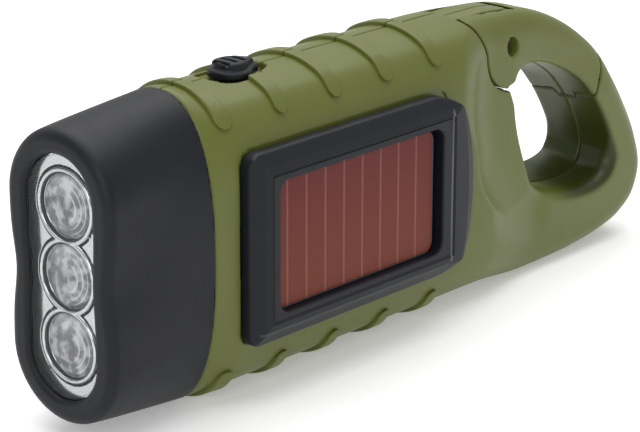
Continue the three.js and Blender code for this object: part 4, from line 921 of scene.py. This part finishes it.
BLACK = black_finish()
OPTIC = optic_finish()
CHIP = Finish("led_chip", (0.75, 0.68, 0.3), 0.35).material
SLOT_FINISH = {
    "olive_plastic": olive_finish(),
    "black_plastic": BLACK,
    "black_knob": BLACK,
    "clear_window": window_finish("clear_window"),
    "led_lens": clear_finish("led_lens", (0.98, 0.98, 0.95), 0.03, 1.5),
    "chrome_reflector": metal_finish("chrome_reflector", (0.76, 0.775, 0.79), 0.1),
    "solar_film": solar_finish(),
    "circuit_board": moulded_plastic("board_green", (0.012, 0.07, 0.025), (0.02, 0.1, 0.04), 0.35),
    "plated_steel": metal_finish("plated_steel", (0.6, 0.61, 0.63), 0.25),
    "white_plastic": moulded_plastic("white_plastic", (0.62, 0.6, 0.54), (0.72, 0.7, 0.64), 0.4),
    "copper_winding": metal_finish("copper_winding", (0.72, 0.3, 0.12), 0.35),
    "magnet": metal_finish("magnet", (0.12, 0.12, 0.125), 0.45),
    "battery_sleeve": moulded_plastic("battery_sleeve", (0.03, 0.12, 0.24), (0.045, 0.16, 0.3), 0.3),
}
node_slot = {part["node"]: part["material_slot"] for part in frame["record"]["subparts"]}
body_of = {node: body for body, nodes in frame["record"]["behaviour"]["bodies"].items() for node in nodes}


def dress(piece, finish):
    """Gives a piece one finish."""
    piece.data.materials.clear()
    piece.data.materials.append(finish)


def dress_frame():
    """Gives every carried-over solid the finish of its slot."""
    for node, slot in node_slot.items():
        piece = bpy.data.objects.get(node)
        if piece:
            dress(piece, SLOT_FINISH[slot])


def goes_along(piece, finish, node):
    """A piece that stands for no solid: its own finish, and the body of a node."""
    dress(piece, finish)
    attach(piece, body_of[node])


def stands_for(piece, node):
    """The piece takes the node's place, body and finish."""
    dress(piece, SLOT_FINISH[node_slot[node]])
    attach(piece, body_of[node])
    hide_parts(node)


def one_side(field, side):
    """The half of a form on one side of the parting plane, with a fine round along the seam."""
    return lambda x, y, z: common(field(x, y, z), SEAM_GAP - side * y, SEAM_EDGE)


def build_halves(nodes, ending, field, spans, step):
    """Left and right pieces of a form: the span of y is the right one's, mirrored for the left one."""
    for side, node in zip((-1, 1), nodes):
        low, high = zip(spans[0], sorted(side * edge for edge in spans[1]), spans[2])
        stands_for(moulded(node + ending, one_side(field, side), low, high, step), node)


def build_body():
    """Shells, ribs and gate, each in two halves."""
    shells, gates = ("shell_left", "shell_right"), ("gate_left", "gate_right")
    build_halves(shells, "_skin", shell_form, ((-5, 112.8), (-0.8, 13.3), (-25.6, 25.6)), 0.38)
    build_halves(shells, "_ribs", rib_form, ((-2, 50), (-0.5, 14.4), (-25.6, 25.6)), 0.24)
    build_halves(gates, "_skin", gate_form, ((55, 101), (-0.8, 10.5), (-1, 25)), 0.36)


def build_mouldings():
    """Head, bezel, slide knob and crank arm, each in one piece."""
    for name, field, low, high, step, node in (
            ("head_skin", head_form, (-25.6, -12.4, -25.2), (0.2, 12.4, 25.2), 0.4, "head_shell"),
            ("bezel_skin", bezel_form, (0.6, -15.3, -15.8), (54.8, -10.3, 15.8), 0.3, "solar_bezel"),
            ("knob_skin", knob_form, (7.2, -4.0, 18), (17.2, 4.0, 26.2), 0.18, "switch_knob"),
            ("arm_skin", arm_form, (-2.6, 12, -8.8), (46.8, 20, 8.8), 0.34, "crank_arm")):
        stands_for(moulded(name, field, low, high, step), node)


def cup_profile():
    """Stepped bowl from the rim to the throat, then back along its outside, as (radius, place in x)."""
    steps = [(CUP_RADIUS + 0.25, 0.2), (5.12, 0.9), (4.6, 0.95), (4.3, 1.9), (4.05, 1.85), (3.75, 3.3),
             (3.5, 3.25), (3.1, 5.2), (CUP_THROAT, CUP_DEPTH)]
    bowl = [(radius, CUP_FACE + deep) for radius, deep in steps]
    outside = [(CUP_THROAT, CUP_FACE + CUP_DEPTH + 1.8), (CUP_THROAT + 0.7, CUP_FACE + CUP_DEPTH + 1.9),
               (CUP_RADIUS + 0.7, CUP_FACE + 1.2), (CUP_RADIUS + 0.6, CUP_FACE + 0.3)]
    return [*bowl, *outside, bowl[0]]


def led_profile():
    """A quarter circle for the dome, a straight barrel and a flange at the back."""
    radius, front, back = LED_FLANGE
    dome = [(LED_RADIUS * math.sin(angle), LED_DOME - LED_RADIUS * math.cos(angle))
            for angle in np.linspace(0, math.pi / 2, 17)]
    return [*dome, (LED_RADIUS, front), (radius, front), (radius, back), (0, back)]


OPTIC_PROFILE = [(0, -23.34), (1.2, -23.3), (1.9, -23.12), (2.3, -23.22), (2.9, -22.98), (3.3, -23.08),
                 (3.8, -22.8), (4.15, -22.88), (4.6, -22.6), (4.84, -22.4), (4.84, -22.3), (0, -22.3)]
# the black ring of painted shade inside each cup's rim
SHADE_RING_PROFILE = [(4.96, -22.2), (4.96, -23.06), (5.16, -23.06), (5.16, -22.2), (4.96, -22.2)]
DIE_PROFILE = [(0, -17.6), (0.75, -17.3), (0.8, -16.4), (0.35, -16.0), (0.35, -14.6), (0, -14.6)]


def build_lamps():
    """Reflector plate, three cups, an LED with its die, an optic and a black ring of painted shade in each,
    and the window.
    """
    stands_for(moulded("reflector_plate", reflector_plate, (-23.6, -7.9, -19.6), (-22, 7.9, 19.6), 0.22),
               "reflector")
    for i, node in enumerate(("led_upper", "led_middle", "led_lower")):
        z = CUP_PITCH * (1 - i)
        stands_for(turned("cup_" + node[4:], cup_profile(), 0, z, 96), "reflector")
        stands_for(turned(node + "_dome", led_profile(), 0, z, 64), node)
        goes_along(turned(node + "_optic", OPTIC_PROFILE, 0, z, 96), OPTIC, "reflector")
        # painted shade: a black ring where each rim's inner wall lies in shade
        goes_along(turned(node + "_shade_ring", SHADE_RING_PROFILE, 0, z, 96), BLACK, "reflector")
        goes_along(turned(node + "_die", DIE_PROFILE, 0, z, 32), CHIP, node)
    stands_for(moulded("lens_cover", lens_form, (-24.3, -7.3, -19), (-23.2, 7.3, 19), 0.3), "head_lens")


def build_knob_sleeve():
    """The folded knob's sleeve: a barrel with four grooves, a round end and a bore for the stem."""
    x0, x1 = ARM_END + 3.5, ARM_END + 19
    profile = [(SLEEVE_BORE, x0), (2.7, x0), (3.0, x0 + 0.12), (KNOB_RADIUS, x0 + 0.5)]
    for k in range(1, 5):
        at = x0 + SLEEVE_PITCH * k
        profile += [(KNOB_RADIUS, at - 0.4), (KNOB_RADIUS - 0.3, at), (KNOB_RADIUS, at + 0.4)]
    profile += [(KNOB_RADIUS, x1 - 1.2), (3.0, x1 - 0.45), (2.4, x1 - 0.08), (1.6, x1), (0, x1)]
    profile += [(0, x1 - 1.7), (SLEEVE_BORE, x1 - 1.7), (SLEEVE_BORE, x0)]
    stands_for(turned("knob_sleeve", profile, ARM_LEVEL, 0, 64), "crank_knob")


def build_camera():
    """The photograph's view: a long lens that looks down a little at the panel side."""
    right = Vector((math.cos(AZIMUTH), math.sin(AZIMUTH), 0))
    forward = Vector((-math.sin(AZIMUTH) * math.cos(ELEVATION), math.cos(AZIMUTH) * math.cos(ELEVATION),
                      -math.sin(ELEVATION)))
    up = right.cross(forward)
    turn = Matrix((right, up, -forward)).transposed() @ Matrix.Rotation(ROLL, 3, "Z")
    data = bpy.data.cameras.new("camera")
    data.sensor_width = SENSOR
    data.lens = FOCAL_PIXELS / IMAGE_WIDTH * SENSOR
    data.clip_end = 20
    camera = bpy.data.objects.new("camera", data)
    camera.matrix_world = Matrix.Translation(placed(EYE)) @ turn.to_4x4()
    bpy.context.scene.collection.objects.link(camera)
    bpy.context.scene.camera = camera


def lamp(name, place, size, energy):
    """A soft round lamp that faces the middle of the object; sizes in metres, energy in watts."""
    data = bpy.data.lights.new(name, "AREA")
    data.shape, data.size, data.energy = "DISK", size, energy
    piece = bpy.data.objects.new(name, data)
    toward = Vector(LAMP_TARGET) - Vector(place)
    piece.matrix_world = Matrix.Translation(place) @ toward.to_track_quat("-Z", "Y").to_matrix().to_4x4()
    bpy.context.scene.collection.objects.link(piece)


def build_floor():
    """A plain pale floor under the object, three metres each way."""
    low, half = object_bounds()[0][2], 3.0
    corners = [(-half, -half, low), (half, -half, low), (half, half, low), (-half, half, low)]
    mesh = bpy.data.meshes.new("floor")
    mesh.from_pydata(corners, [], [(0, 1, 2, 3)])
    floor = bpy.data.objects.new("floor", mesh)
    bpy.context.scene.collection.objects.link(floor)
    finish = Finish("floor_pale", (0.86, 0.86, 0.86), 0.8, Emission_Color=(1, 1, 1, 1), Emission_Strength=0.3,
                    Specular_IOR_Level=0.1)
    mesh.materials.append(finish.material)


def build_surroundings():
    """Even white light; the camera and clear parts see it at full white, and gloss a little below that."""
    world = bpy.data.worlds.new("surroundings")
    bpy.context.scene.world = world
    tree = Tree(world)
    tree.nodes.clear()
    white = (1, 1, 1, 1)
    camera_ray, clear_ray, glossy_ray = (tree.node("ShaderNodeLightPath", {}, {}, kind) for kind in
                                         ("Is Camera Ray", "Is Transmission Ray", "Is Glossy Ray"))
    room = tree.node("ShaderNodeBackground", {}, {"Color": white, "Strength": glossy_ray * 0.35 + 0.3})
    seen = tree.node("ShaderNodeBackground", {}, {"Color": white, "Strength": 1.0})
    mixed = tree.node("ShaderNodeMixShader", {}, {0: camera_ray.greatest(clear_ray), 1: room, 2: seen})
    tree.links.new(mixed.link, tree.nodes.new("ShaderNodeOutputWorld").inputs["Surface"])


build_camera()
dress_frame()
build_body()
build_mouldings()
build_lamps()
build_knob_sleeve()
bpy.context.scene.view_settings.view_transform = "Standard"
build_floor()
build_surroundings()
lamp("overhead", (0.1, 0.15, 0.9), 1.4, 12.0)
lamp("front", (-0.5, -0.3, 0.3), 0.3, 0.8)
